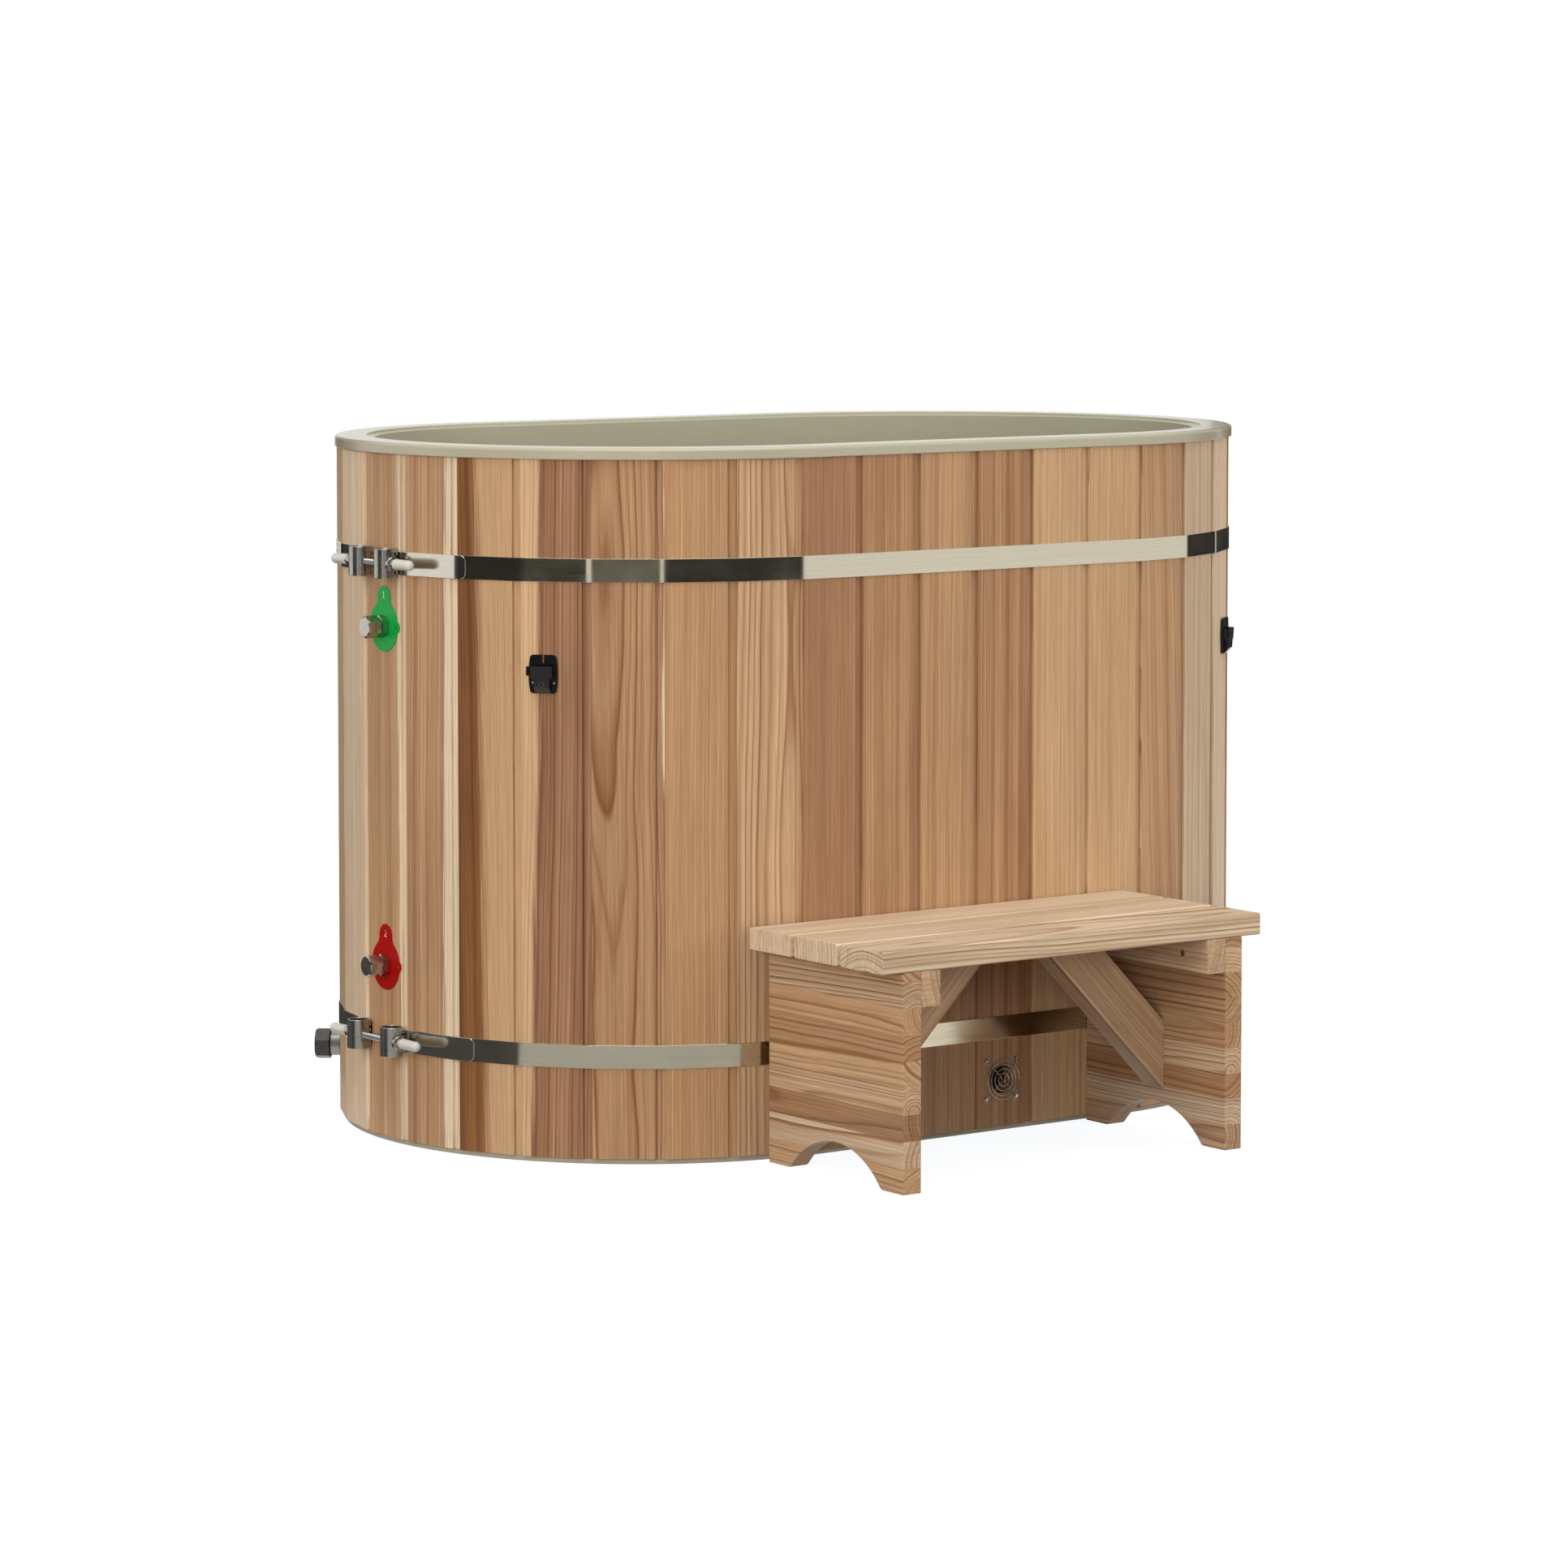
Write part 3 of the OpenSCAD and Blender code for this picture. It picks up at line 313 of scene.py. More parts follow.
class Form:
    """A mesh in the making, in millimetres. Each face keeps a tag that says which timber it is."""

    def __init__(self) -> None:
        """Starts with nothing."""
        self.points: list[Vector] = []
        self.faces: list[list[int]] = []
        self.tags: list[int] = []

    def add(
        self, points: Iterable[Point], faces: Iterable[Sequence[int]],
        at: Matrix | None = None, tag: int = 0,
    ) -> "Form":
        """Adds points and the faces between them.

        Args:
            points: Their places.
            faces: Lists of indices into points.
            at: Where to put them.
            tag: Which timber the faces are.

        Returns:
            The form itself.
        """
        base = len(self.points)
        at = at or Matrix()
        self.points += [at @ Vector(p) for p in points]
        for f in faces:
            self.faces.append([base + k for k in f])
            self.tags.append(tag)
        return self

    def merge(self, other: "Form", at: Matrix | None = None) -> "Form":
        """Adds a copy of another form.

        Args:
            other: The form.
            at: Where its copy goes.

        Returns:
            This form.
        """
        for tag in sorted(set(other.tags)):
            kept = [f for f, t in zip(other.faces, other.tags) if t == tag]
            self.add(other.points, kept, at, tag)
        return self

    def loft(
        self, rings: Sequence[Sequence[Point]], at: Matrix | None = None, tag: int = 0,
        closed: bool = False, capped: bool = True,
    ) -> "Form":
        """Joins rings of equal length into a skin.

        Args:
            rings: Loops of points, one after another.
            at: Where to put them.
            tag: Which timber the faces are.
            closed: Whether the last ring joins the first.
            capped: Whether an open skin's ends are filled.

        Returns:
            The form itself.
        """
        n, count = len(rings[0]), len(rings)
        faces = []
        for k in range(count if closed else count - 1):
            a, b = k * n, (k + 1) % count * n
            faces += [(a + j, a + (j + 1) % n, b + (j + 1) % n, b + j) for j in range(n)]
        if capped and not closed:
            faces += [tuple(range(n))[::-1], tuple(range((count - 1) * n, count * n))]
        return self.add([p for ring in rings for p in ring], faces, at, tag)

    def prism(
        self, profile: Sequence[Point], z0: float, z1: float,
        at: Matrix | None = None, tag: int = 0,
    ) -> "Form":
        """Stands a plan profile up between two heights."""
        return self.loft([[(p[0], p[1], z) for p in profile] for z in (z0, z1)], at, tag)

    def plate(self, profile: Profile, y0: float, y1: float, at: Matrix | None = None) -> "Form":
        """Gives an upright profile of x and z its thickness, y0 to y1 out of the board."""
        return self.loft([[(x, -y, z) for x, z in profile] for y in (y0, y1)], at)

    def lathe(
        self, profile: Profile, at: Matrix | None = None, steps: int = 64, solid: bool = True
    ) -> "Form":
        """Turns a profile about the way out of the board.

        Args:
            profile: Pairs of radius and distance out.
            at: Where to put it.
            steps: Points round it.
            solid: True if both ends meet the axis, False for a ring with a hole.

        Returns:
            The form itself.
        """
        angles = round_trip(steps)
        rings = [
            [(r * math.cos(a), -out, r * math.sin(a)) for a in angles] for r, out in profile
        ]
        return self.loft(rings, at, closed=not solid, capped=solid)

    def drill(self, d: float, y0: float, y1: float, at: Matrix, steps: int = 48) -> "Form":
        """A plain cylinder of diameter d from y0 to y1 out of the board."""
        return self.lathe([(0.0, y0), (d / 2, y0), (d / 2, y1), (0.0, y1)], at, steps)

    def washer(self, bore: float, r: float, y0: float, y1: float, at: Matrix) -> "Form":
        """A flat ring with eased outer edges, from y0 to y1 out of the board.

        Args:
            bore: Radius of its hole.
            r: Its radius.
            y0: Its back.
            y1: Its front.
            at: Its place.

        Returns:
            This form.
        """
        ease = 0.3
        profile = [(bore, y0), (r - ease, y0), (r, y0 + ease), (r, y1 - ease), (r - ease, y1),
                   (bore, y1)]
        return self.lathe(profile, at, solid=False)

    def tube(
        self, path: Sequence[Point], r: float, at: Matrix | None = None, steps: int = 12,
        closed: bool = False,
    ) -> "Form":
        """Runs a round bar along a path.

        Args:
            path: Its points.
            r: Radius of the bar.
            at: Where to put it.
            steps: Points round it.
            closed: Whether the path is a loop.

        Returns:
            The form itself.
        """
        pts = [Vector(p) for p in path]
        n = len(pts)
        ways = []
        for k in range(n):
            before = pts[k - 1] if closed or k else pts[k]
            after = pts[(k + 1) % n] if closed or k < n - 1 else pts[k]
            ways.append((after - before).normalized())
        side = ways[0].orthogonal().normalized()
        rings = []
        for p, w in zip(pts, ways):
            side = (side - side.dot(w) * w).normalized()
            other = w.cross(side)
            rings.append([
                p + r * (math.cos(a) * side + math.sin(a) * other) for a in round_trip(steps)
            ])
        return self.loft(rings, at, closed=closed)

    def hexagon(
        self, af: float, y0: float, y1: float, at: Matrix | None = None, bore: float = 0.0,
        land: float = 0.6, slope: float = 0.45, back: bool = True, deep: float | None = None,
    ) -> "Form":
        """A nut or cap with the curved chamfer that turning leaves on a hexagon.

        Args:
            af: Width across its flats.
            y0: Where it starts, out of the board.
            y1: Where it ends.
            at: Where to put it.
            bore: Diameter of its hole, or 0.
            land: How far its flat front stops short of the flats.
            slope: Fall of the chamfer for each millimetre of radius.
            back: Whether the back has the chamfer too.
            deep: Depth of a blind hole from the back, or None for one that goes through.

        Returns:
            The form itself.
        """
        angles = round_trip(72)
        half = math.radians(30)
        rim = [af / 2 / math.cos((a % (2 * half)) - half) for a in angles]
        flat = af / 2 - land

        def circle(r: float, y: float) -> list[Point]:
            """A round ring of points."""
            return [(r * math.cos(a), -y, r * math.sin(a)) for a in angles]

        def outline(y: float, sign: float) -> list[Point]:
            """A six-sided ring, sunk where the chamfer cuts its corners.

            Args:
                y: Its height out of the board.
                sign: 1 at the back, -1 in front, 0 for no chamfer.

            Returns:
                The ring's points.
            """
            return [
                (r * math.cos(a), -(y + sign * (r - flat) * slope), r * math.sin(a))
                for r, a in zip(rim, angles)
            ]

        rings = [circle(flat, y0)] if back else []
        rings += [outline(y0, 1 if back else 0), outline(y1, -1), circle(flat, y1)]
        if not bore:
            return self.loft(rings, at)
        if deep is None:
            return self.loft(rings + [circle(bore / 2, y1), circle(bore / 2, y0)], at, closed=True)
        front = [circle(POINT, y1), circle(POINT, y0 + deep), circle(bore / 2, y0 + deep)]
        return self.loft(rings + front + [circle(bore / 2, y0)], at, closed=True)

    def mesh(self, name: str, bevel: float = 0.0) -> bpy.types.Mesh:
        """Makes the Blender mesh in metres.

        Args:
            name: Its name.
            bevel: Radius given to its sharp edges, or 0.

        Returns:
            The mesh, closed and with its faces pointing out.
        """
        made = bpy.data.meshes.new(name)
        made.from_pydata([p * MM for p in self.points], [], self.faces)
        tags = made.attributes.new("timber", "INT", "FACE")
        tags.data.foreach_set("value", self.tags)
        with editing(made) as bm:
            bmesh.ops.remove_doubles(bm, verts=bm.verts, dist=MELD)
            bmesh.ops.dissolve_degenerate(bm, edges=bm.edges, dist=MELD)
            bmesh.ops.recalc_face_normals(bm, faces=bm.faces)
            if bevel:
                round_edges(bm, bevel)
        return made


def shade(mesh: bpy.types.Mesh) -> bpy.types.Mesh:
    """Shades a mesh smooth except over its sharp edges.

    Args:
        mesh: The mesh.

    Returns:
        The same mesh.
    """
    mesh.shade_smooth()
    mesh.set_sharp_from_angle(angle=SHARP_ANGLE)
    return mesh


@contextmanager
def editing(mesh: bpy.types.Mesh) -> Iterator[bmesh.types.BMesh]:
    """Opens a mesh for edits, then writes them back and shades it.

    Args:
        mesh: The mesh.

    Yields:
        The mesh in its form for edits.
    """
    bm = bmesh.new()
    bm.from_mesh(mesh)
    yield bm
    bm.to_mesh(mesh)
    bm.free()
    shade(mesh)


def link(name: str, data: bpy.types.ID) -> bpy.types.Object:
    """Puts data in the scene as an object.

    Args:
        name: The object's name.
        data: What it shows.

    Returns:
        The object.
    """
    made = bpy.data.objects.new(name, data)
    bpy.context.scene.collection.objects.link(made)
    return made


def round_edges(bm: bmesh.types.BMesh, radius: float) -> None:
    """Rounds every edge of a mesh in metres that turns far enough, to a radius in millimetres.

    Args:
        bm: The mesh, in metres.
        radius: Radius in millimetres.
    """
    edges = [
        e for e in bm.edges if len(e.link_faces) == 2 and e.calc_face_angle(0) > ROUNDED_ANGLE
    ]
    bmesh.ops.bevel(
        bm, geom=edges, offset=radius * MM, segments=2, affect="EDGES", profile=0.5,
        clamp_overlap=True,
    )


def carve(target: bpy.types.Mesh, tool: Form) -> bpy.types.Mesh:
    """Cuts one form out of a mesh.

    Args:
        target: The mesh to cut, in metres.
        tool: What is taken away, in millimetres.

    Returns:
        A new mesh.
    """
    body, cutter = link("carve_body", target), link("carve_tool", tool.mesh("carve_tool"))
    step = body.modifiers.new("carve", "BOOLEAN")
    step.object, step.operation, step.solver = cutter, "DIFFERENCE", "EXACT"
    bpy.context.view_layer.update()
    cut = body.evaluated_get(bpy.context.evaluated_depsgraph_get())
    made = bpy.data.meshes.new_from_object(cut)
    bpy.data.objects.remove(body)
    bpy.data.objects.remove(cutter)
    return shade(made)


# ---------------------------------------------------------------- finishes


class Nodes:
    """A node tree, with short calls for the nodes that these finishes use."""

    def __init__(self, tree: bpy.types.NodeTree) -> None:
        """Starts with an empty tree."""
        self.tree = tree
        tree.nodes.clear()

    def put(self, socket: bpy.types.NodeSocket, value: object) -> None:
        """Links a socket to another, or sets its value.

        Args:
            socket: The socket.
            value: Another socket, or a value.
        """
        if isinstance(value, bpy.types.NodeSocket):
            self.tree.links.new(value, socket)
        elif isinstance(value, tuple) and len(value) == 3 and socket.type == "RGBA":
            socket.default_value = (*value, 1.0)
        else:
            socket.default_value = value

    def node(self, kind: str, *values: object, **settings: object) -> bpy.types.Node:
        """Adds a shader node.

        Args:
            kind: The node's type, without its usual first word.
            values: What its first inputs get, in order.
            settings: Options of the node itself.

        Returns:
            The node.
        """
        made = self.tree.nodes.new("ShaderNode" + kind)
        for option, choice in settings.items():
            setattr(made, option, choice)
        for socket, value in zip(made.inputs, values):
            self.put(socket, value)
        return made

    def sum(self, op: str, a: object, b: object = 0.0, c: object = 0.0) -> bpy.types.NodeSocket:
        """A Math node."""
        return self.node("Math", a, b, c, operation=op).outputs[0]

    def times(self, a: object, b: object) -> bpy.types.NodeSocket:
        """The product of two numbers."""
        return self.sum("MULTIPLY", a, b)

    def sway(self, base: object, noise: object, amount: object) -> bpy.types.NodeSocket:
        """Moves a number up and down by a noise that is 0.5 on average."""
        return self.sum("MULTIPLY_ADD", self.sum("SUBTRACT", noise, 0.5), amount, base)

    def vector(self, op: str, a: object, b: Triple) -> bpy.types.NodeSocket:
        """A Vector Math node."""
        return self.node("VectorMath", a, b, operation=op).outputs[0]

    def attribute(self, name: str) -> bpy.types.NodeSocket:
        """A vector kept on the mesh's corners."""
        return self.node("Attribute", attribute_name=name).outputs["Vector"]

    def place(self) -> bpy.types.NodeSocket:
        """The point's place on its own object, in metres."""
        return self.node("TexCoord").outputs["Object"]

    def parts(self, vector: bpy.types.NodeSocket) -> list[bpy.types.NodeSocket]:
        """A vector's three numbers."""
        return list(self.node("SeparateXYZ", vector).outputs)

    def noise(
        self, where: bpy.types.NodeSocket, scale: Triple | float, detail: float = 2.0,
        rough: float = 0.5,
    ) -> bpy.types.NodeSocket:
        """Soft noise.

        Args:
            where: A vector, or a number for noise along one line.
            scale: Its frequency per metre, along each axis if it differs.
            detail: Number of finer layers.
            rough: Strength of those layers.

        Returns:
            A value of about 0.2 to 0.8.
        """
        made = self.node("TexNoise")
        if where.type == "VALUE":
            made.noise_dimensions = "1D"
            self.put(made.inputs["W"], self.times(where, scale))
        else:
            each = scale if isinstance(scale, tuple) else (scale,) * 3
            self.put(made.inputs["Vector"], self.vector("MULTIPLY", where, each))
        for name, value in (("Scale", 1.0), ("Detail", detail), ("Roughness", rough)):
            made.inputs[name].default_value = value
        return made.outputs[0]

    def ramp(self, value: object, *stops: Pair) -> bpy.types.NodeSocket:
        """A curve of straight pieces through pairs of place and height.

        Args:
            value: A number from 0 to 1.
            stops: The pairs, in order.

        Returns:
            The height there.
        """
        made = self.node("ValToRGB", value)
        elements = made.color_ramp.elements
        for place, _ in stops[1:-1]:
            elements.new(place)
        for element, (place, height) in zip(elements, stops):
            element.position = place
            element.color = (height, height, height, 1)
        return self.sum("ADD", made.outputs[0])

    def span(
        self, value: object, low: float, high: float, to_low: float = 0.0, to_high: float = 1.0,
        kind: str = "LINEAR",
    ) -> bpy.types.NodeSocket:
        """A Map Range node, held within its ends."""
        made = self.node("MapRange", value, low, high, to_low, to_high, interpolation_type=kind)
        return made.outputs[0]

    def swing(self, noise: object, low: float, high: float) -> bpy.types.NodeSocket:
        """Carries the range that a noise keeps to, 0.3 to 0.7, over to another one."""
        return self.span(noise, 0.3, 0.7, low, high)

    def mix(self, share: object, a: object, b: object, mode: str = "MIX") -> bpy.types.NodeSocket:
        """Mixes two colours.

        Args:
            share: Share of the second colour.
            a: First colour.
            b: Second colour.
            mode: How they are mixed.

        Returns:
            The mixed colour.
        """
        made = self.node("Mix", share, data_type="RGBA", blend_type=mode)
        for name, value in (("A_Color", a), ("B_Color", b)):
            self.put(next(x for x in made.inputs if x.identifier == name), value)
        return next(x for x in made.outputs if x.identifier == "Result_Color")

    def grey(self, value: object) -> bpy.types.NodeSocket:
        """A grey of this value."""
        return self.node("CombineXYZ", value, value, value).outputs[0]

    def bump(self, height: object, depth: float, strength: float) -> bpy.types.NodeSocket:
        """A bump of this depth in millimetres.

        Args:
            height: The height, 0 to 1.
            depth: Its depth.
            strength: How far it shows.

        Returns:
            The bent normal.
        """
        made = self.node("Bump")
        for name, value in (("Strength", strength), ("Distance", depth * MM), ("Height", height)):
            self.put(made.inputs[name], value)
        return made.outputs[0]

    def seen(self) -> bpy.types.NodeSocket:
        """1 for what the camera sees straight or by way of metal or glass, 0 for the light.

        Returns:
            The switch.
        """
        rays = self.node("LightPath").outputs
        straight = self.sum("MAXIMUM", rays["Is Camera Ray"], rays["Is Glossy Ray"])
        return self.sum("MAXIMUM", straight, rays["Is Transmission Ray"])


class Surface(Nodes):
    """The nodes of a material with one surface shader."""

    def __init__(self, name: str) -> None:
        """Makes the material with its shader and output.

        Args:
            name: Its name.
        """
        self.material = bpy.data.materials.new(name)
        self.material.use_nodes = True
        super().__init__(self.material.node_tree)
        self.shader = self.node("BsdfPrincipled")
        self.node("OutputMaterial", self.shader.outputs[0])

    def finished(self, **values: object) -> bpy.types.Material:
        """Sets the shader's sockets, named with underscores, and gives the material.

        Args:
            **values: The sockets' values.

        Returns:
            The material.
        """
        for name, value in values.items():
            self.put(self.shader.inputs[name.replace("_", " ")], value)
        return self.material


@dataclass(frozen=True)
class Grain:
    """How one piece of cedar looks and how it was sawn from its log.

    The pith is the log's middle, in millimetres across and into the board from the middle of
    its face. Far to one side it gives straight grain, and close behind the face it gives loops.
    """

    tone: Tone
    late: Tone = Tone.LATE_RED
    outer: Tone = Tone.CREAM
    pith: tuple[float, float] = (-220.0, 12.0)
    ring: float = 2.8
    sap: float = 900.0
    streak: float = 0.5
    lean: float = 0.0
    wave: float = 2.0
    soft: float = 3.0
    lines: float = 0.8

    def values(self) -> dict[str, Triple]:
        """What the wood's nodes read of it, as three numbers for each attribute.

        Returns:
            The attributes' values by name.
        """
        return {
            "tone": linear(self.tone.value),
            "late": linear(self.late.value),
            "outer": linear(self.outer.value),
            "cut": (self.ring * MM, self.sap * MM, self.streak),
            "figure": (self.wave * MM, self.soft * MM, self.lines),
        }


@dataclass(frozen=True)
class Timber:
    """One length of cedar in the build: its grain and the place of its own axes."""

    grain: Grain
    place: Matrix
    offset: float = 0.0

    def local(self, point: Vector) -> Vector:
        """A point of the row, in millimetres, as metres from this timber's pith.

        Args:
            point: The point.

        Returns:
            The point in the log's own axes.
        """
        p = self.place @ point
        x = p.x - self.grain.pith[0] + self.grain.lean * p.z
        return Vector((x * MM, (p.y - self.grain.pith[1]) * MM, p.z * MM + self.offset))


@dataclass(frozen=True)
class CedarFinish:
    """Oiled, planed western cedar with rings, sapwood, streaks and fibre."""

    wander: float = 0.022
    wobble: float = 0.0016
    fibre_depth: float = 0.10
    roughness: float = 0.5
    # frequencies per metre, across, into and along the log
    bow: Triple = (2.0, 2.0, 1.1)
    ripple: Triple = (26.0, 26.0, 5.0)
    swell: Triple = (9.0, 9.0, 2.1)
    drift: Triple = (9.0, 9.0, 1.6)
    patch: Triple = (14.0, 14.0, 3.2)
    comb: Triple = (900.0, 60.0, 2.2)
    hair: Triple = (420.0, 420.0, 9.0)
    fibre: Triple = (1500.0, 1500.0, 26.0)

    def material(self) -> bpy.types.Material:
        """Builds the wood's nodes from the attributes that `dress` writes.

        Returns:
            The material.
        """
        n = Surface("cedar")
        grain, tone, late = n.attribute("grain"), n.attribute("tone"), n.attribute("late")
        ring, sap, streak = n.parts(n.attribute("cut"))
        wave, soft, strength = n.parts(n.attribute("figure"))
        # the log isn't straight: its middle wanders and its rings wobble
        x, y, _ = n.parts(grain)
        x = n.sway(x, n.noise(grain, self.bow, 1.0), self.wander)
        beside = n.vector("ADD", grain, (7.3, 1.1, 3.7))
        y = n.sway(y, n.noise(beside, self.bow, 1.0), self.wander * 1.6)
        r = n.sum("SQRT", n.sum("ADD", n.times(x, x), n.times(y, y)))
        r = n.sway(r, n.noise(grain, self.ripple), self.wobble * 2)
        r = n.sway(r, n.noise(grain, self.swell, 2.0, 0.4), wave)
        # rings: their widths vary, and each is pale, then darker, with a sharp outer line
        count = n.sum("DIVIDE", r, ring)
        count = n.sum("MULTIPLY_ADD", n.noise(r, 45.0, 1.0), 3.0, count)
        line = n.ramp(n.sum("FRACT", count),
                      (0.0, 0.1), (0.3, 0.0), (0.66, 0.3), (0.9, 1.0), (1.0, 0.1))
        each = n.noise(n.sum("FLOOR", count), 7.31, 0.0)
        line = n.times(line, n.swing(each, 0.35, 1.4))
        # bands of many rings, slow change along the board, and fibres
        band = n.span(n.noise(r, 38.0, 3.0), 0.36, 0.66)
        stripe = n.span(n.noise(r, 170.0), 0.36, 0.66)
        slow = n.swing(n.noise(grain, self.drift), 0.0, 1.0)
        beyond = n.vector("ADD", grain, (3.1, 5.9, 1.3))
        patch = n.span(n.noise(beyond, self.patch), 0.5, 0.72)
        fibre = n.noise(grain, self.fibre, 2.0, 0.6)
        hair = n.noise(grain, self.hair, 2.0, 0.6)
        comb = n.span(n.noise(grain, self.comb, 1.0), 0.38, 0.66)
        share = n.sum("MULTIPLY_ADD", stripe, 0.5, n.sum("MULTIPLY_ADD", patch, 0.5, band))
        colour = n.mix(n.times(share, streak), tone, late)
        colour = n.mix(n.times(line, strength), colour, late)
        colour = n.mix(n.times(comb, 0.34), colour, late)
        # the sapwood begins at a ring, with a hairy edge
        edge = n.sum("ADD", r, n.swing(hair, -0.003, 0.003))
        outer = n.sum("DIVIDE", n.sum("SUBTRACT", edge, sap), soft)
        pale = n.mix(n.times(line, 0.34), n.attribute("outer"), late)
        colour = n.mix(n.span(outer, -1.0, 1.0, kind="SMOOTHSTEP"), colour, pale)
        depth = n.times(n.swing(fibre, 0.89, 1.09), n.swing(hair, 0.89, 1.09))
        depth = n.times(depth, n.sum("MULTIPLY_ADD", slow, 0.16, 0.92))
        height = n.sum("MULTIPLY_ADD", fibre, 0.6, n.times(line, -0.5))
        return n.finished(
            Base_Color=n.mix(1.0, colour, n.grey(depth), "MULTIPLY"),
            Roughness=n.swing(fibre, self.roughness - 0.05, self.roughness + 0.08),
            Specular_IOR_Level=0.32,
            Normal=n.bump(height, self.fibre_depth, 0.6),
        )


@dataclass(frozen=True)
class SteelFinish:
    """Bare stainless steel, from polished to brushed along one line."""

    name: str
    colour: Triple = (196, 194, 188)
    roughness: float = 0.2
    brush: Triple = (300.0, 300.0, 300.0)
    brush_depth: float = 0.004
    smear: float = 0.06

    def material(self) -> bpy.types.Material:
        """Builds the metal with fine scratches and finger smears.

        Returns:
            The material.
        """
        n = Surface(self.name)
        scratch = n.noise(n.place(), self.brush, 3.0, 0.65)
        smear = n.span(n.noise(n.place(), 22.0, 3.0), 0.35, 0.7,
                       self.roughness, self.roughness + self.smear)
        tint = linear(self.colour)
        dark = tuple(c * 0.86 for c in tint)
        return n.finished(
            Base_Color=n.mix(n.span(scratch, 0.35, 0.65), tint, dark), Metallic=1.0,
            Roughness=n.sum("ADD", n.swing(scratch, -0.04, 0.05), smear),
            Normal=n.bump(scratch, self.brush_depth, 0.5),
        )


@dataclass(frozen=True)
class CoatFinish:
    """Smooth plastic, gelcoat, rubber or paint, with a little unevenness."""

    name: str
    colour: Triple
    roughness: float = 0.4
    specular: float = 0.5
    coat: float = 0.0
    grit: float = 400.0
    grit_depth: float = 0.01
    mottle: float = 0.04

    def material(self) -> bpy.types.Material:
        """Builds the coat with its fine texture.

        Returns:
            The material.
        """
        n = Surface(self.name)
        fine = n.noise(n.place(), self.grit)
        broad = n.swing(n.noise(n.place(), 14.0, 3.0), 1 - self.mottle, 1 + self.mottle)
        grain = {"Normal": n.bump(fine, self.grit_depth, 0.5)} if self.grit_depth else {}
        return n.finished(
            Base_Color=n.mix(1.0, linear(self.colour), n.grey(broad), "MULTIPLY"),
            Roughness=n.swing(fine, self.roughness * 0.96, self.roughness * 1.05),
            Specular_IOR_Level=self.specular, Coat_Weight=self.coat, Coat_Roughness=0.08,
            **grain,
        )


class Finish(Enum):
    """Every finish on the tub, with the name of the slot that it belongs to."""

    BOARD = ("tub_boards", CedarFinish())
    VENT_BOARD = ("vent_board", CedarFinish())
    STEP = ("step_boards", CedarFinish())
    SHELL = ("shell", CoatFinish("gelcoat", (165, 160, 137), 0.26, 0.45, 0.15, 5.0, 0.0, 0.01))
    PAN = ("base", CoatFinish("pan_plastic", (158, 150, 130), 0.6))
    # partly painted shade: the foam is darkened to near black brown so that the vent hole, which
    # looks into it, reads as a dark hollow; aged foam is brownish too
    FOAM = ("foam", CoatFinish("aged_foam_painted_hole_shade", (70, 52, 32), 0.9, 0.2, 0.0, 900.0, 0.4, 0.06))
    # partly painted reflection: the band's warm yellow tint stands for the warm grey surroundings
    # that the steel mirrors, on top of the steel's own colour
    HOOP = ("hoop_steel", SteelFinish("brushed_band_painted_warm_reflection", (207, 200, 178), 0.13,
                                      (9.0, 9.0, 2600.0), 0.004, 0.05))
    DOUBLER = ("hoop_steel", SteelFinish("brushed_doubler", (218, 213, 199), 0.12,
                                         (40.0, 40.0, 2200.0), 0.006, 0.04))
    CLAMP = ("clamp_steel", SteelFinish("turned_steel", (184, 181, 174), 0.24,
                                        (120.0, 120.0, 900.0), 0.003, 0.06))
    ROD = ("clamp_steel", SteelFinish("rod_steel", (178, 177, 173), 0.26))
    CAP = ("rod_cap_plastic", CoatFinish("end_cap_plastic", (196, 194, 187), 0.42, 0.5))
    GREEN = ("green_plate", CoatFinish("green_enamel", (8, 152, 60), 0.36, 0.22))
    RED = ("red_plate", CoatFinish("red_enamel", (158, 8, 6), 0.4, 0.1))
    WHITE = ("green_plate", CoatFinish("white_print", (236, 238, 234), 0.45))
    WHITE_ON_RED = ("red_plate", CoatFinish("white_print", (236, 238, 234), 0.45))
    PIPE = ("pipe_steel", SteelFinish("cast_pipe_steel", (196, 192, 184), 0.16))
    DRAIN = ("pipe_steel", SteelFinish("dull_drain_steel", (150, 146, 138), 0.3))
    DRAIN_CAP = ("pipe_steel", SteelFinish("dark_cap_steel", (74, 72, 68), 0.3))
    RUBBER = ("seal_rubber", CoatFinish("black_rubber", (26, 26, 26), 0.6, 0.4))
    LATCH = ("latch_plastic", CoatFinish("black_gloss_plastic", (10, 10, 11), 0.2, 0.35, 0.1))
    KEY = ("key_steel", SteelFinish("dark_key_steel", (96, 95, 93), 0.3))
    SCREW = ("screw_steel", SteelFinish("screw_steel_finish", (200, 198, 192), 0.2))
    # painted reflection: the chrome is dimmed and tinted brown to stand for the dark brown
    # underside of the step that the wires mirror
    WIRE = ("guard_wire", SteelFinish("chromed_wire_painted_dark_reflection", (158, 150, 140), 0.12))

    def __init__(self, slot: str, look: object) -> None:
        """Keeps the slot's name and the finish that makes the material."""
        self.slot = slot
        self.look = look

    def material(self) -> bpy.types.Material:
        """The finish's material, made once.

        Returns:
            The material.
        """
        if self.look not in _MATERIALS:
            _MATERIALS[self.look] = self.look.material()
        return _MATERIALS[self.look]


_MATERIALS: dict[object, bpy.types.Material] = {}


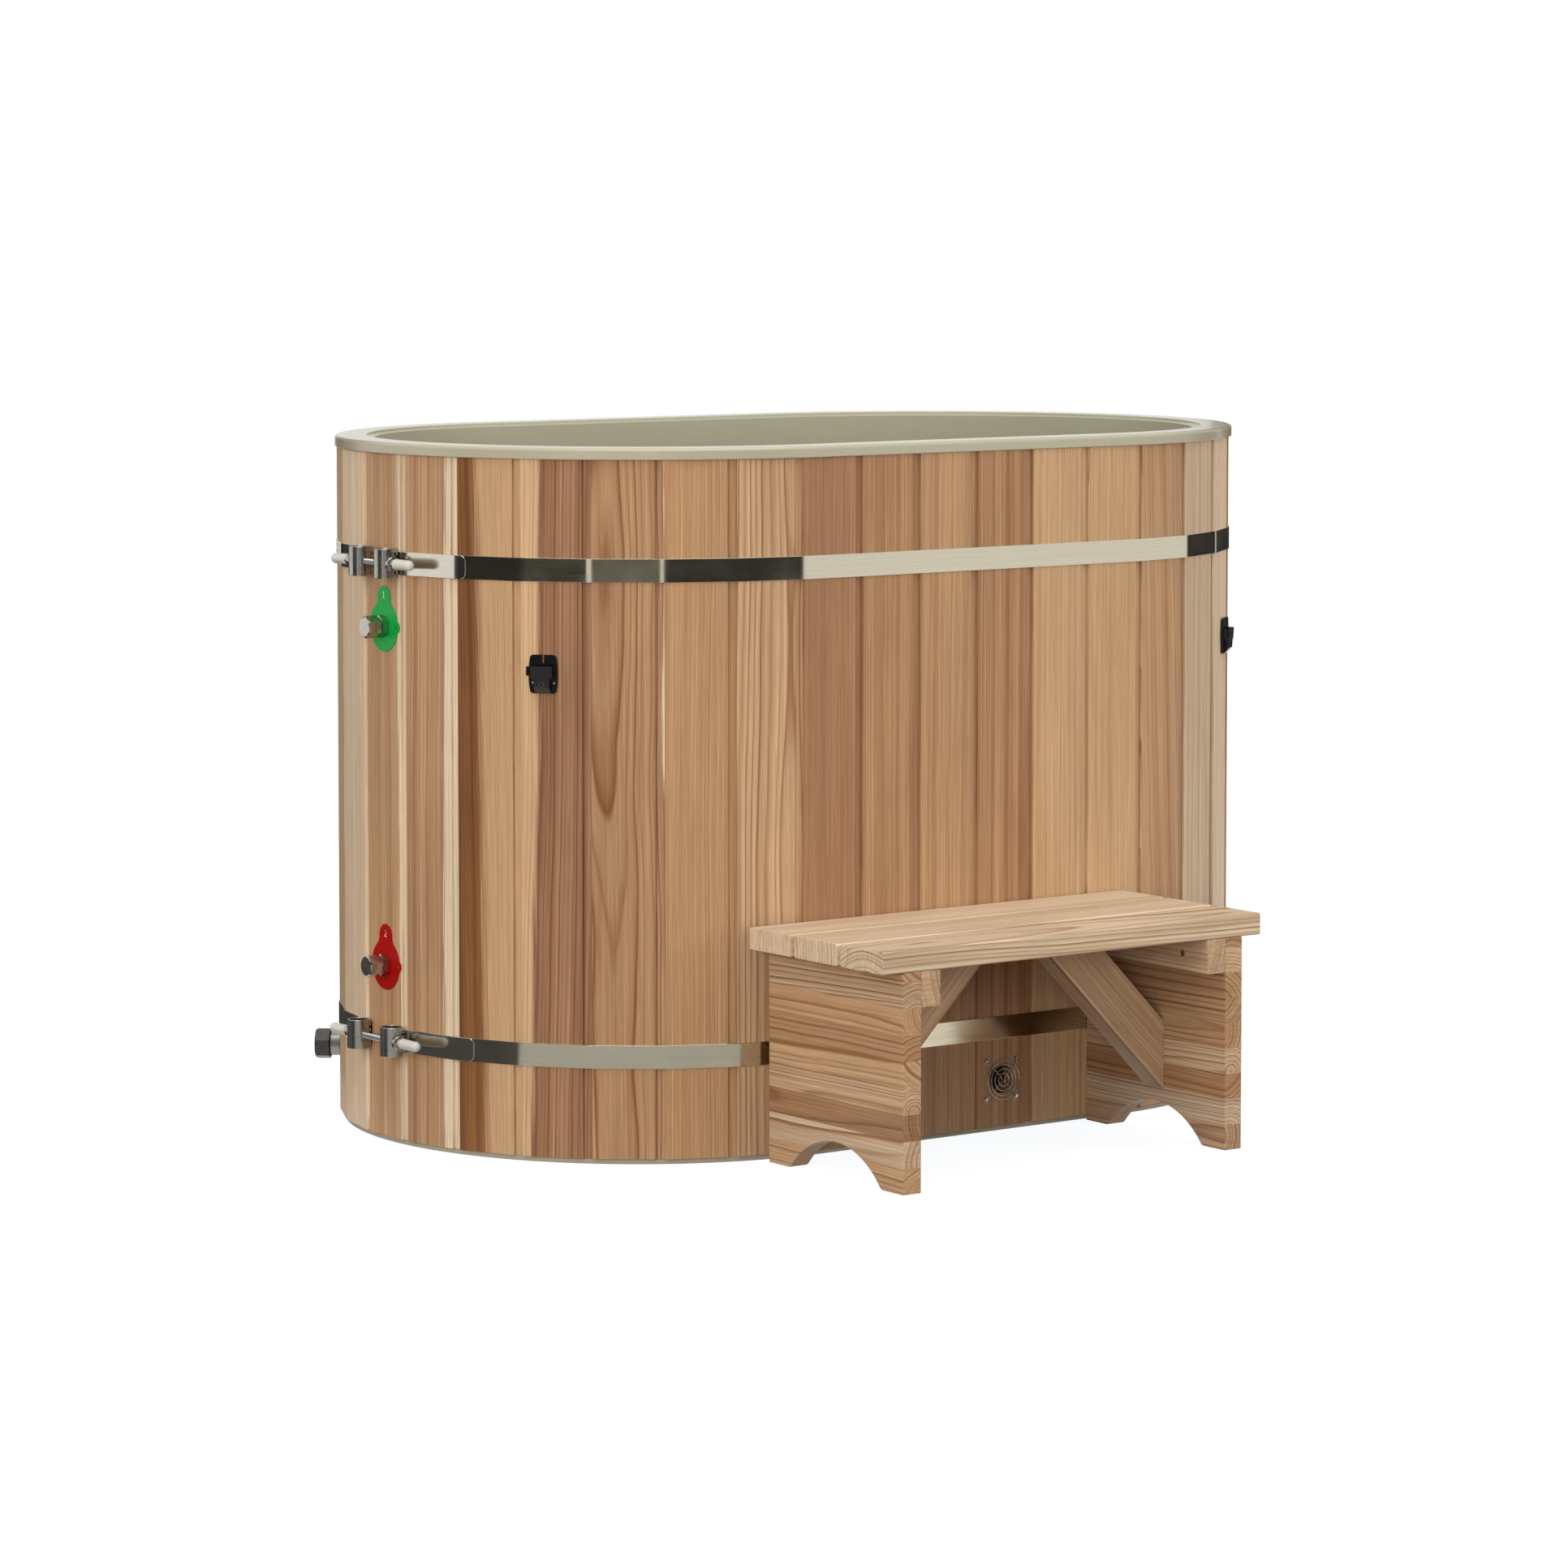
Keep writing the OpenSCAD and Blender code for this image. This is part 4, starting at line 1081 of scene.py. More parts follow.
def dress(mesh: bpy.types.Mesh, timbers: Callable[[int, Vector], Timber]) -> None:
    """Writes each face's timber into the mesh, for the cedar nodes to read.

    Args:
        mesh: The finished mesh, in metres.
        timbers: Gives the timber for a face's tag and its middle in millimetres.
    """
    tags = mesh.attributes["timber"].data
    rows: dict[str, list[float]] = {"grain": []}
    for face in mesh.polygons:
        timber = timbers(tags[face.index].value, face.center / MM)
        for k in face.vertices:
            rows["grain"].extend(timber.local(mesh.vertices[k].co / MM))
        for name, value in timber.grain.values().items():
            rows.setdefault(name, []).extend(value * len(face.vertices))
    for name, values in rows.items():
        mesh.attributes.new(name, "FLOAT_VECTOR", "CORNER").data.foreach_set("vector", values)


def piece(
    name: str, mesh: bpy.types.Mesh, finish: Finish, body: str, stands_for: Sequence[str] = ()
) -> bpy.types.Object:
    """Puts a finished mesh in the scene as one piece.

    Args:
        name: The piece's name.
        mesh: Its mesh, in metres, in the row's frame.
        finish: Its finish.
        body: The CAD body that it moves with.
        stands_for: The CAD nodes that it replaces.

    Returns:
        The object.
    """
    made = link(name, mesh)
    mesh.materials.clear()
    mesh.materials.append(finish.material())
    flat = made.modifiers.new("flat_faces_shade_flat", "WEIGHTED_NORMAL")
    flat.keep_sharp = True
    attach(made, body)
    if stands_for:
        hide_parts(*stands_for)
    LOG.info("%s: %d faces", name, len(mesh.polygons))
    return made


def keep(node: str, finish: Finish) -> bpy.types.Object:
    """Gives a CAD node that already has the right shape its finish.

    Args:
        node: The node.
        finish: Its finish.

    Returns:
        Its object.
    """
    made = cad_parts[node]
    made.data.materials.clear()
    made.data.materials.append(finish.material())
    LOG.info("%s: kept, %d faces", node, len(made.data.polygons))
    return made


# ---------------------------------------------------------------- boards


@dataclass
class StaveRing:
    """The tongue and groove boards round the tub, each with the grain seen on it."""

    bottom: float = 7.0
    top: float = 897.0
    thickness: float = 18.0
    strip_deep: float = 4.5
    tongue: float = 6.0
    gap: float = 0.5
    edge: float = 1.2
    groove_in: float = 7.5
    groove_slack: float = 0.3
    log_step: float = 2.7
    first_draw: int = 400
    through: Pair = (-25.0, 5.0)
    groups: dict[str, list[int]] = field(default_factory=lambda: {
        "staves_front": [7, 8, 9, 11, 12],
        "staves_back": [26, 27, 28, 29, 30, 31],
        "staves_left_end": [32, 33, 34, 36, 37, 1, 2, 3, 4, 5, 6],
        "staves_right_end": list(range(13, 26)),
    })
    looks: dict[int, Grain] = field(default_factory=lambda: {
        36: Grain(Tone.PALE, Tone.LATE_STRAW, ring=2.6, streak=0.15, lines=0.6),
        37: Grain(Tone.WHEAT, Tone.LATE_STRAW, ring=3.0, streak=0.05, lines=0.35),
        0: Grain(Tone.GOLD, Tone.LATE_GOLD, pith=(-190, 10), ring=3.0, sap=226, streak=0.3),
        1: Grain(Tone.GOLD, Tone.LATE_ROSE, pith=(-230, 8), ring=3.0, sap=256, streak=0.35,
                 lean=-0.006, lines=0.7),
        2: Grain(Tone.UMBER, Tone.LATE_BROWN, Tone.HONEY, pith=(-240, 10), ring=2.9, sap=240,
                 streak=0.5, lean=0.018, soft=9.0, lines=0.65),
        3: Grain(Tone.ROSE, Tone.LATE_RED, Tone.GOLD, pith=(150, 16), ring=7.0, sap=178,
                 streak=0.4, lean=-0.012, wave=12.0, soft=6.0, lines=0.8),
        4: Grain(Tone.HONEY, Tone.LATE_ROSE, pith=(-16, -56), ring=6.0, sap=94, streak=0.35,
                 lean=0.01, wave=30.0, lines=0.9),
        5: Grain(Tone.HONEY, Tone.LATE_GOLD, pith=(-300, 6), ring=2.7, streak=0.2, lines=0.7),
        6: Grain(Tone.STRAW, Tone.LATE_ROSE, pith=(34, 30), ring=7.5, streak=0.2, wave=16.0),
        7: Grain(Tone.ROSE, Tone.LATE_ROSE, pith=(-260, 9), ring=2.7, streak=0.3, lines=0.6),
        8: Grain(Tone.HONEY, Tone.LATE_ROSE, pith=(240, 9), ring=2.9, streak=0.4, lines=0.6),
        9: Grain(Tone.GOLD, Tone.LATE_GOLD, pith=(-220, 9), ring=2.8, streak=0.4, lines=0.6),
        10: Grain(Tone.HONEY, Tone.LATE_ROSE, pith=(210, 9), ring=3.0, streak=0.5, lines=0.7),
        11: Grain(Tone.STRAW, Tone.LATE_STRAW, pith=(-280, 6), ring=2.4, streak=0.3, lines=0.6),
        12: Grain(Tone.STRAW, Tone.LATE_STRAW, pith=(-250, 8), ring=2.6, streak=0.3, lines=0.6),
        13: Grain(Tone.GOLD, Tone.LATE_GOLD, pith=(-170, 20), ring=3.4, streak=0.35, lean=0.03),
        14: Grain(Tone.CREAM, Tone.LATE_GOLD, pith=(260, 8), ring=2.6, streak=0.2, lines=0.6),
        15: Grain(Tone.WHEAT, Tone.LATE_STRAW, ring=2.8, streak=0.05, lines=0.3),
    })

    def grain(self, i: int) -> Grain:
        """The grain of board i, chosen from a fixed order for the boards out of sight.

        Args:
            i: Number of the board.

        Returns:
            Its grain.
        """
        if i in self.looks:
            return self.looks[i]
        draw = random.Random(self.first_draw + i)
        tone = draw.choice([Tone.TAN, Tone.HONEY, Tone.GOLD, Tone.STRAW, Tone.ROSE, Tone.PALE,
                            Tone.AMBER])
        late = draw.choice([Tone.LATE_STRAW, Tone.LATE_GOLD, Tone.LATE_ROSE])
        if draw.random() < 0.25:  # sawn flat, with the pith close behind or before its face
            pith = (draw.uniform(-25, 25), draw.choice([-1, 1]) * draw.uniform(35, 60))
            ring, wave = 5.0, 16.0
        else:
            pith = (draw.choice([-1, 1]) * draw.uniform(170, 280), 10.0)
            ring, wave = 2.8, 2.0
        sap = math.hypot(*pith) + draw.uniform(18, 40) if draw.random() < 0.4 else 900.0
        return Grain(tone, late, pith=pith, ring=ring, sap=sap, streak=draw.uniform(0.2, 0.5),
                     wave=wave, lines=draw.uniform(0.55, 0.8))

    def timber(self, i: int, _middle: Vector) -> Timber:
        """Board i's timber."""
        return Timber(self.grain(i), OUTLINE.board(i).inverted(), self.log_step * i)

    def profile(self, i: int) -> list[Vector]:
        """Section of board i in plan, with its tongue, groove, sunk strip and eased edges.

        Args:
            i: Number of the board.

        Returns:
            Its points.
        """
        o, j, w, c = OUTLINE, i + 1, OUTLINE.width(i), self.edge
        deep, low = self.strip_deep, self.strip_deep + self.tongue
        g, s = self.gap, self.groove_slack
        start = arc(g + c, c, c, 180, 270, 3)
        end = arc(w - o.strip - c, c, c, 270, 360, 3)
        return (
            [o.face(i, t, d) for t, d in start] + [o.face(i, t, d) for t, d in end]
            + [o.face(i, w - o.strip, deep), o.joint(j, 0, deep), o.joint(j, self.tongue, deep),
               o.joint(j, self.tongue, low), o.joint(j, -g, low), o.joint(j, -g, self.thickness),
               o.joint(i, g, self.thickness), o.joint(i, g, low + s),
               o.joint(i, self.groove_in, low + s), o.joint(i, self.groove_in, deep - s),
               o.joint(i, g, deep - s)]
        )

    def boards(self, numbers: Sequence[int]) -> Form:
        """Several boards as one form, tagged by number.

        Args:
            numbers: Their numbers.

        Returns:
            The form.
        """
        made = Form()
        for i in numbers:
            made.prism(self.profile(i), self.bottom, self.top, tag=i)
        return made

    def drilled(self, name: str, finish: Finish, *holes: Hole) -> None:
        """One board with its holes, as the node of that name.

        Args:
            name: The node.
            finish: Its finish.
            holes: Its holes, all on one board.
        """
        i, tool = holes[0].board, Form()
        for hole in holes:
            tool.drill(hole.bore, *self.through, hole.place())
        mesh = carve(self.boards([i]).mesh(name), tool)
        dress(mesh, lambda _tag, middle: self.timber(i, middle))
        piece(name + "_cedar", mesh, finish, "tub", [name])

    def build(self) -> None:
        """Makes every board."""
        for name, numbers in self.groups.items():
            mesh = self.boards(numbers).mesh(name)
            dress(mesh, self.timber)
            piece(name + "_cedar", mesh, Finish.BOARD, "tub", [name])
        self.drilled("port_stave", Finish.BOARD, INLET, OUTLET)
        self.drilled("drain_stave", Finish.BOARD, DRAIN)
        self.drilled("vent_stave", Finish.VENT_BOARD, VENT)


# ---------------------------------------------------------------- well, pan and foam


@dataclass
class Shell:
    """The moulded well with its rim, the pan under the boards and the foam between."""

    tub_h: float = 912.0
    stave_top: float = 897.0
    well_r: float = 360.0
    skin: float = 6.0
    floor: float = 40.0
    cove: float = 24.0
    ledge_w: float = 10.0
    ledge_d: float = 4.0
    rim_r: float = 412.5
    rim_round: float = 5.0
    rim_edge: float = 0.8
    rim_slack: float = 2.5
    ease: float = 1.2
    pan_r: float = 404.0
    pan_h: float = 6.95
    through: Pair = (2.0, -70.0)

    def section(self) -> Profile:
        """The shell's closed section, as distance from the middle line and height.

        Returns:
            Its points, from the middle of the floor round to below it.
        """
        r, t, e, top = self.well_r, self.skin, self.ease, self.tub_h
        ledge_r, channel_r = r + self.ledge_w, r + self.ledge_w + t
        lip_r, edge = self.rim_r - t - self.rim_slack, self.rim_edge
        cove = arc(r - self.cove, self.floor + self.cove, self.cove, -90, 0, 10)
        ledge = top - self.ledge_d
        mouth = (
            arc(r + e, ledge - e, e, 180, 90, 4) + [(ledge_r - e, ledge)]
            + arc(ledge_r - e, ledge + e, e, -90, 0, 4)[1:]
            + arc(ledge_r + e, top - e, e, 180, 90, 4)
        )
        rim = arc(self.rim_r - self.rim_round, top - self.rim_round, self.rim_round, 90, 0, 8)
        lip = [
            (self.rim_r, self.stave_top + edge), (self.rim_r - edge, self.stave_top),
            (lip_r, self.stave_top), (lip_r, top - t), (channel_r, top - t),
            (channel_r, self.stave_top), (r + t, self.stave_top),
        ]
        outer_cove = self.cove + t
        under = arc(r + t - outer_cove, self.floor - t + outer_cove, outer_cove, 0, -90, 10)
        return [(0.0, self.floor)] + cove + mouth + rim + lip + under + [(0.0, self.floor - t)]

    def form(self) -> Form:
        """Carries the section round the oval.

        Returns:
            The form.
        """
        section = self.section()
        rings = [
            [(base.x + r * way.x, base.y + r * way.y, z) for r, z in section]
            for base, way in OUTLINE.oval(0.0)
        ]
        return Form().loft(rings, closed=True)

    def build(self) -> None:
        """Makes the shell with its pipe holes, and finishes the two pieces behind it."""
        holes = Form()
        for hole in (INLET, OUTLET, DRAIN):
            holes.drill(hole.bore, *self.through, hole.place())
        mesh = carve(self.form().mesh("tub_shell"), holes)
        piece("well_shell", mesh, Finish.SHELL, "tub", ["tub_shell"])
        rim = [(p.x, p.y) for p, _ in OUTLINE.oval(self.pan_r)]
        pan = Form().prism(rim, 0, self.pan_h).mesh("base_pan", self.ease)
        piece("base_pan_moulding", pan, Finish.PAN, "tub", ["base_pan"])
        keep("foam_jacket", Finish.FOAM)


# ---------------------------------------------------------------- hoops and clamps


@dataclass
class Hoops:
    """Two steel bands, their doubled ends and the screw clamps that draw them together."""

    upper: float = 757.0
    lower: float = 138.0
    upper_gap: float = 61.0
    lower_gap: float = 81.0
    x: float = 1.5
    height: float = 30.0
    thickness: float = 1.5
    bend: float = 72.0
    straight: float = 0.99999  # cosine between two boards that lie in line
    edge: float = 0.45
    doubler_t: float = 1.2
    doubler_l: float = 128.0
    doubler_r: float = 7.0
    doubler_edge: float = 0.3
    barrel_d: float = 29.0
    barrel_wall: float = 2.0
    barrel_h: float = 38.0
    rod_d: float = 8.0
    thread: float = 1.25
    thread_deep: float = 0.62
    rod_stub: float = 12.0
    nut_af: float = 13.0
    nut_t: float = 6.5
    nut_play: float = 0.2
    saddle_d: float = 18.0
    saddle_t: float = 6.0
    saddle_bite: float = 3.2
    saddle_ease: float = 0.6
    tip_d: float = 14.0
    tip_l: float = 38.0
    tip_draft: float = 0.25
    tip_ease: float = 0.5
    weld_r: float = 1.9
    weld_rise: float = 1.3
    weld_sink: float = 0.6
    weld_x: float = 5.2
    weld_z: tuple[float, ...] = (-12.0, -4.0, 4.0, 12.0)

    @property
    def doubler_out(self) -> float:
        """Distance from the boards to the outside of a doubler."""
        return SEAT + self.thickness + SEAT + self.doubler_t

    @property
    def rod_out(self) -> float:
        """Distance from the boards to a rod's axis."""
        return self.doubler_out + SEAT + self.barrel_d / 2

    def route(
        self, out: float, start: float, length: float = 0.0, back: bool = False
    ) -> list[tuple[Vector, Vector]]:
        """The bent line that a band follows round the boards' corners.

        Args:
            out: Distance from the faces.
            start: Distance from the clamp's middle at which the line starts.
            length: Its length, or 0 for all the way round to the other side of the clamp.
            back: Whether it runs towards the tub's back instead of its front.

        Returns:
            Points and the way out at each.
        """
        o, corners = OUTLINE, OUTLINE.ring(out)
        middle = (o.board(0, 0, self.x) @ Vector((0, 0, 0))).to_2d()
        along, outward = o.along(0), o.outward(0)
        made = [(middle + start * along + out * outward, outward)]
        for step in range(1, o.count + 1):
            i = step % o.count
            before, after = o.outward(step - 1), o.outward(i)
            a_in, a_out = o.along(step - 1), o.along(i)
            if before.dot(after) >= self.straight:
                made.append((corners[i], before))
                continue
            reach = self.bend * math.tan(before.angle(after) / 2)
            for k in range(5):
                share = k / 4
                p = corners[i] + (1 - share) ** 2 * (-reach) * a_in + share ** 2 * reach * a_out
                made.append((p, before.lerp(after, share).normalized()))
        made.append((middle - start * along + out * outward, outward))
        if not length:
            return made
        if back:
            made.reverse()
        kept, gone = [made[0]], 0.0
        for (p, _), (q, way) in zip(made, made[1:]):
            leg = (q - p).length
            if gone + leg >= length:
                kept.append((p.lerp(q, (length - gone) / leg), way))
                break
            kept.append((q, way))
            gone += leg
        return kept

    def band(self, z: float, gap: float) -> Form:
        """One hoop's strip, with rounded edges.

        Args:
            z: Height of its middle.
            gap: Width of its open part.

        Returns:
            The form.
        """
        t = self.thickness
        section = rounded_rect(t, self.height, self.edge, 3)
        rings = [
            [(p.x + s * way.x, p.y + s * way.y, z + v) for s, v in section]
            for p, way in self.route(SEAT + t / 2, gap / 2)
        ]
        return Form().loft(rings)

    def doubler(self, z: float, gap: float, back: bool) -> Form:
        """The doubler plate on one side, its free end rounded, bent over the boards' corners.

        Args:
            z: Height of its middle.
            gap: Width of the band's open part.
            back: Whether it is the one towards the back.

        Returns:
            The form.
        """
        t, h, r, e = self.doubler_t, self.height, self.doubler_r, self.doubler_edge
        total = self.doubler_l
        route = self.route(SEAT + self.thickness + SEAT + t / 2, gap / 2, total, back)
        runs, gone = [0.0], 0.0
        for (p, _), (q, _) in zip(route, route[1:]):
            gone += (q - p).length
            runs.append(gone)
        # more stations where the end's corners turn
        stations: list[tuple[Vector, Vector, float]] = []
        for (p, a), (q, b), s0, s1 in zip(route, route[1:], runs, runs[1:]):
            parts = 8 if s1 > total - r - 1 else 1
            for k in range(parts):
                share = k / parts
                stations.append((p.lerp(q, share), a.lerp(b, share).normalized(),
                                 s0 + share * (s1 - s0)))
        stations.append((*route[-1], runs[-1]))
        rings = []
        for p, way, s in stations:
            left = total - s
            inset = r - math.sqrt(max(r * r - (r - left) ** 2, 0.0)) if left < r else 0.0
            half = max(h / 2 - inset, h / 2 - r + 0.01)
            section = [(-t / 2, -half), (t / 2 - e, -half), (t / 2, -half + e), (t / 2, half - e),
                       (t / 2 - e, half), (-t / 2, half)]
            rings.append([(p.x + u * way.x, p.y + u * way.y, z + v) for u, v in section])
        return Form().loft(rings)

    def sides(self, z: float, gap: float) -> list[Matrix]:
        """Where each of a clamp's two halves goes; local X runs out along the rod."""
        at = OUTLINE.board(0, z, self.x) @ shift(y=-self.rod_out)
        return [at @ shift(x=gap / 2), at @ MIRROR_X @ shift(x=gap / 2)]

    def barrel(self) -> Form:
        """A short tube with eased lips, upright.

        Returns:
            The form.
        """
        r, w, h, e = self.barrel_d / 2, self.barrel_wall, self.barrel_h / 2, 0.5
        profile = [(r, -h + e), (r, h - e), (r - e, h), (r - w + e, h), (r - w, h - e),
                   (r - w, -h + e), (r - w + e, -h), (r - e, -h)]
        return Form().lathe(profile, turn("X", -90), 96, solid=False)

    def along_rod(self, made: Form) -> Form:
        """Turns a form made out of the board so that it points along the rod."""
        return Form().merge(made, turn("Z", 90))

    def saddle(self) -> Form:
        """The spacer between barrel and nut.

        Returns:
            The form.
        """
        r, bore, ease = self.saddle_d / 2, self.rod_d / 2 + SLIP, self.saddle_ease
        start, end = self.barrel_d / 2 - self.saddle_bite, self.barrel_d / 2 + self.saddle_t
        nose = start + 1.2
        profile = [(bore, nose), (r * 0.72, nose), (r, start + 3.4), (r, end - ease),
                   (r - ease, end), (bore, end)]
        return self.along_rod(Form().lathe(profile, solid=False))

    def nut(self) -> Form:
        """The clamp's hexagon nut.

        Returns:
            The form.
        """
        y0 = self.barrel_d / 2 + self.saddle_t + SEAT
        bore = self.rod_d + self.nut_play
        return self.along_rod(
            Form().hexagon(self.nut_af, y0, y0 + self.nut_t, bore=bore, land=0.3))

    def tip(self) -> Form:
        """The soft cap on the rod's end.

        Returns:
            The form.
        """
        y0 = self.barrel_d / 2 + self.saddle_t + self.nut_t + SEAT
        r, end, ease = self.tip_d / 2, y0 + self.tip_l, self.tip_ease
        thin = r - self.tip_draft
        bore, deep = self.rod_d / 2 + SLIP, y0 + self.rod_stub + 1
        profile = [(bore, y0), (r - ease, y0), (r, y0 + ease), (thin, y0 + self.tip_l * 0.6)]
        profile += [(q, end - r + s) for q, s in arc(0, 0, thin, 0, 88, 10)]
        profile += [(0.01, deep), (bore, deep)]
        return self.along_rod(Form().lathe(profile, None, 48, solid=False))

    def rod(self, z: float, gap: float) -> Form:
        """The threaded rod across both barrels.

        Args:
            z: Its height.
            gap: Width of the band's open part.

        Returns:
            The form.
        """
        reach = gap / 2 + self.barrel_d / 2 + self.saddle_t + self.nut_t + self.rod_stub
        parts = 6  # rings in each turn of the thread
        rings = []
        for k in range(int(2 * reach / self.thread * parts) + 1):
            x = -reach + k * self.thread / parts
            ring = []
            for a in round_trip(20):
                phase = (x / self.thread - a / (2 * math.pi)) % 1.0
                r = self.rod_d / 2 - self.thread_deep * abs(2 * phase - 1)
                ring.append((x, r * math.cos(a), r * math.sin(a)))
            rings.append(ring)
        return Form().loft(rings, OUTLINE.board(0, z, self.x) @ shift(y=-self.rod_out))

    def welds(self) -> Form:
        """Weld beads where a barrel meets its doubler.

        Returns:
            The form.
        """
        made, r, rise = Form(), self.weld_r, self.weld_rise
        axis, foot, long = POINT / 10, -self.weld_sink, Matrix.Diagonal((1, 1, 1.5, 1))
        profile = [(axis, foot), (r, foot)] + dome(r, rise) + [(axis, rise)]
        for side in (-1, 1):
            for z in self.weld_z:
                at = shift(side * self.weld_x, self.barrel_d / 2 - 0.15, z) @ long
                made.lathe(profile, at, 16)
        return made

    def build(self) -> None:
        """Makes both hoops and their clamps."""
        halves = {"barrels": self.barrel().merge(self.welds()), "saddles": self.saddle(),
                  "nuts": self.nut(), "tips": self.tip()}
        parts: dict[str, Form] = {k: Form() for k in (*halves, "rods")}
        for label, z, gap in (("upper", self.upper, self.upper_gap),
                              ("lower", self.lower, self.lower_gap)):
            band = self.band(z, gap).mesh("band")
            piece(f"{label}_hoop_band", band, Finish.HOOP, "tub", [f"{label}_hoop"])
            for at in self.sides(z, gap):
                for k, half in halves.items():
                    parts[k].merge(half, at)
            parts["rods"].merge(self.rod(z, gap))
            plates = self.doubler(z, gap, False).merge(self.doubler(z, gap, True))
            piece(f"{label}_doublers", plates.mesh("doubler"), Finish.DOUBLER, "tub",
                  [f"{label}_end_plates"])
        for label, finish, node in (
            ("barrels", Finish.CLAMP, "clamp_barrels"), ("saddles", Finish.CLAMP, "saddle_washers"),
            ("nuts", Finish.CLAMP, "clamp_nuts"), ("tips", Finish.CAP, "rod_end_caps"),
            ("rods", Finish.ROD, "clamp_rods"),
        ):
            piece(f"clamp_{label}_turned", parts[label].mesh(label), finish, "tub", [node])


# ---------------------------------------------------------------- fittings


def soften(node: str, finish: Finish, body: str, radius: float) -> bpy.types.Object:
    """Rounds a CAD node's edges and puts the result in its place.

    Args:
        node: The node.
        finish: Its finish.
        body: The body that it moves with.
        radius: Radius of the rounding in millimetres.

    Returns:
        The new object.
    """
    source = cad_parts[node]
    mesh = bpy.data.meshes.new(node)
    with editing(mesh) as bm:
        bm.from_mesh(source.data)
        bm.transform(source.matrix_world)
        bmesh.ops.remove_doubles(bm, verts=bm.verts, dist=MELD)
        bmesh.ops.dissolve_limit(
            bm, angle_limit=math.radians(0.4), verts=bm.verts, edges=bm.edges,
            use_dissolve_boundaries=False,
        )
        round_edges(bm, radius)
    return piece(node + "_moulded", mesh, finish, body, [node])


def screw_head(r: float, y0: float, h: float, at: Matrix) -> Form:
    """A pan head, from y0 to y0 + h out of the board.

    Args:
        r: Its radius.
        y0: Its foot.
        h: Its height.
        at: Place of the screw.

    Returns:
        The form.
    """
    side = 0.35  # share of its height that stands straight
    crown = [(x, y0 + h * out) for x, out in dome(r, 1 - side, side)]
    return Form().lathe([(POINT, y0), (r, y0)] + crown + [(POINT, y0 + h)], at, 32)


def cross_slot(r: float, y1: float, deep: float, at: Matrix) -> Form:
    """What a cross-head screwdriver's tip takes out of a head.

    Args:
        r: Radius of the head.
        y1: Its top, out of the board.
        deep: Depth of the slot.
        at: Place of the screw.

    Returns:
        The form.
    """
    made, long, wide = Form(), r * 0.56, r * 0.11
    top = [(-long, -wide), (long, -wide), (long, wide), (-long, wide)]
    rings = [[(s * x, -(y1 - d), s * z) for x, z in top] for s, d in ((0.35, deep), (1.0, -0.6))]
    for degrees in (20, 110):
        made.loft(rings, at @ turn("Y", degrees))
    return made


@dataclass(frozen=True)
class Screws:
    """A row of small cross-head screws: their heads and the shanks behind them."""

    name: str
    node: str
    r: float
    y0: float
    h: float
    shank: float = 3.5
    bite: float = 12.0

    def build(self, places: Sequence[Matrix]) -> None:
        """Makes a screw at each place.

        Args:
            places: The places.
        """
        heads, slots, shanks = Form(), Form(), Form()
        r, start, end = self.shank / 2, -self.bite, self.y0 - 0.01
        for at in places:
            heads.merge(screw_head(self.r, self.y0, self.h, at))
            slots.merge(cross_slot(self.r, self.y0 + self.h, self.h * 0.6, at))
            shanks.lathe([(POINT, start), (r, start + 2), (r, end), (POINT, end)], at, 16)
        mesh = carve(heads.mesh(self.name), slots)
        with editing(mesh) as bm:
            bm.from_mesh(shanks.mesh("shanks"))
        piece(self.name, mesh, Finish.SCREW, "tub", [self.node])


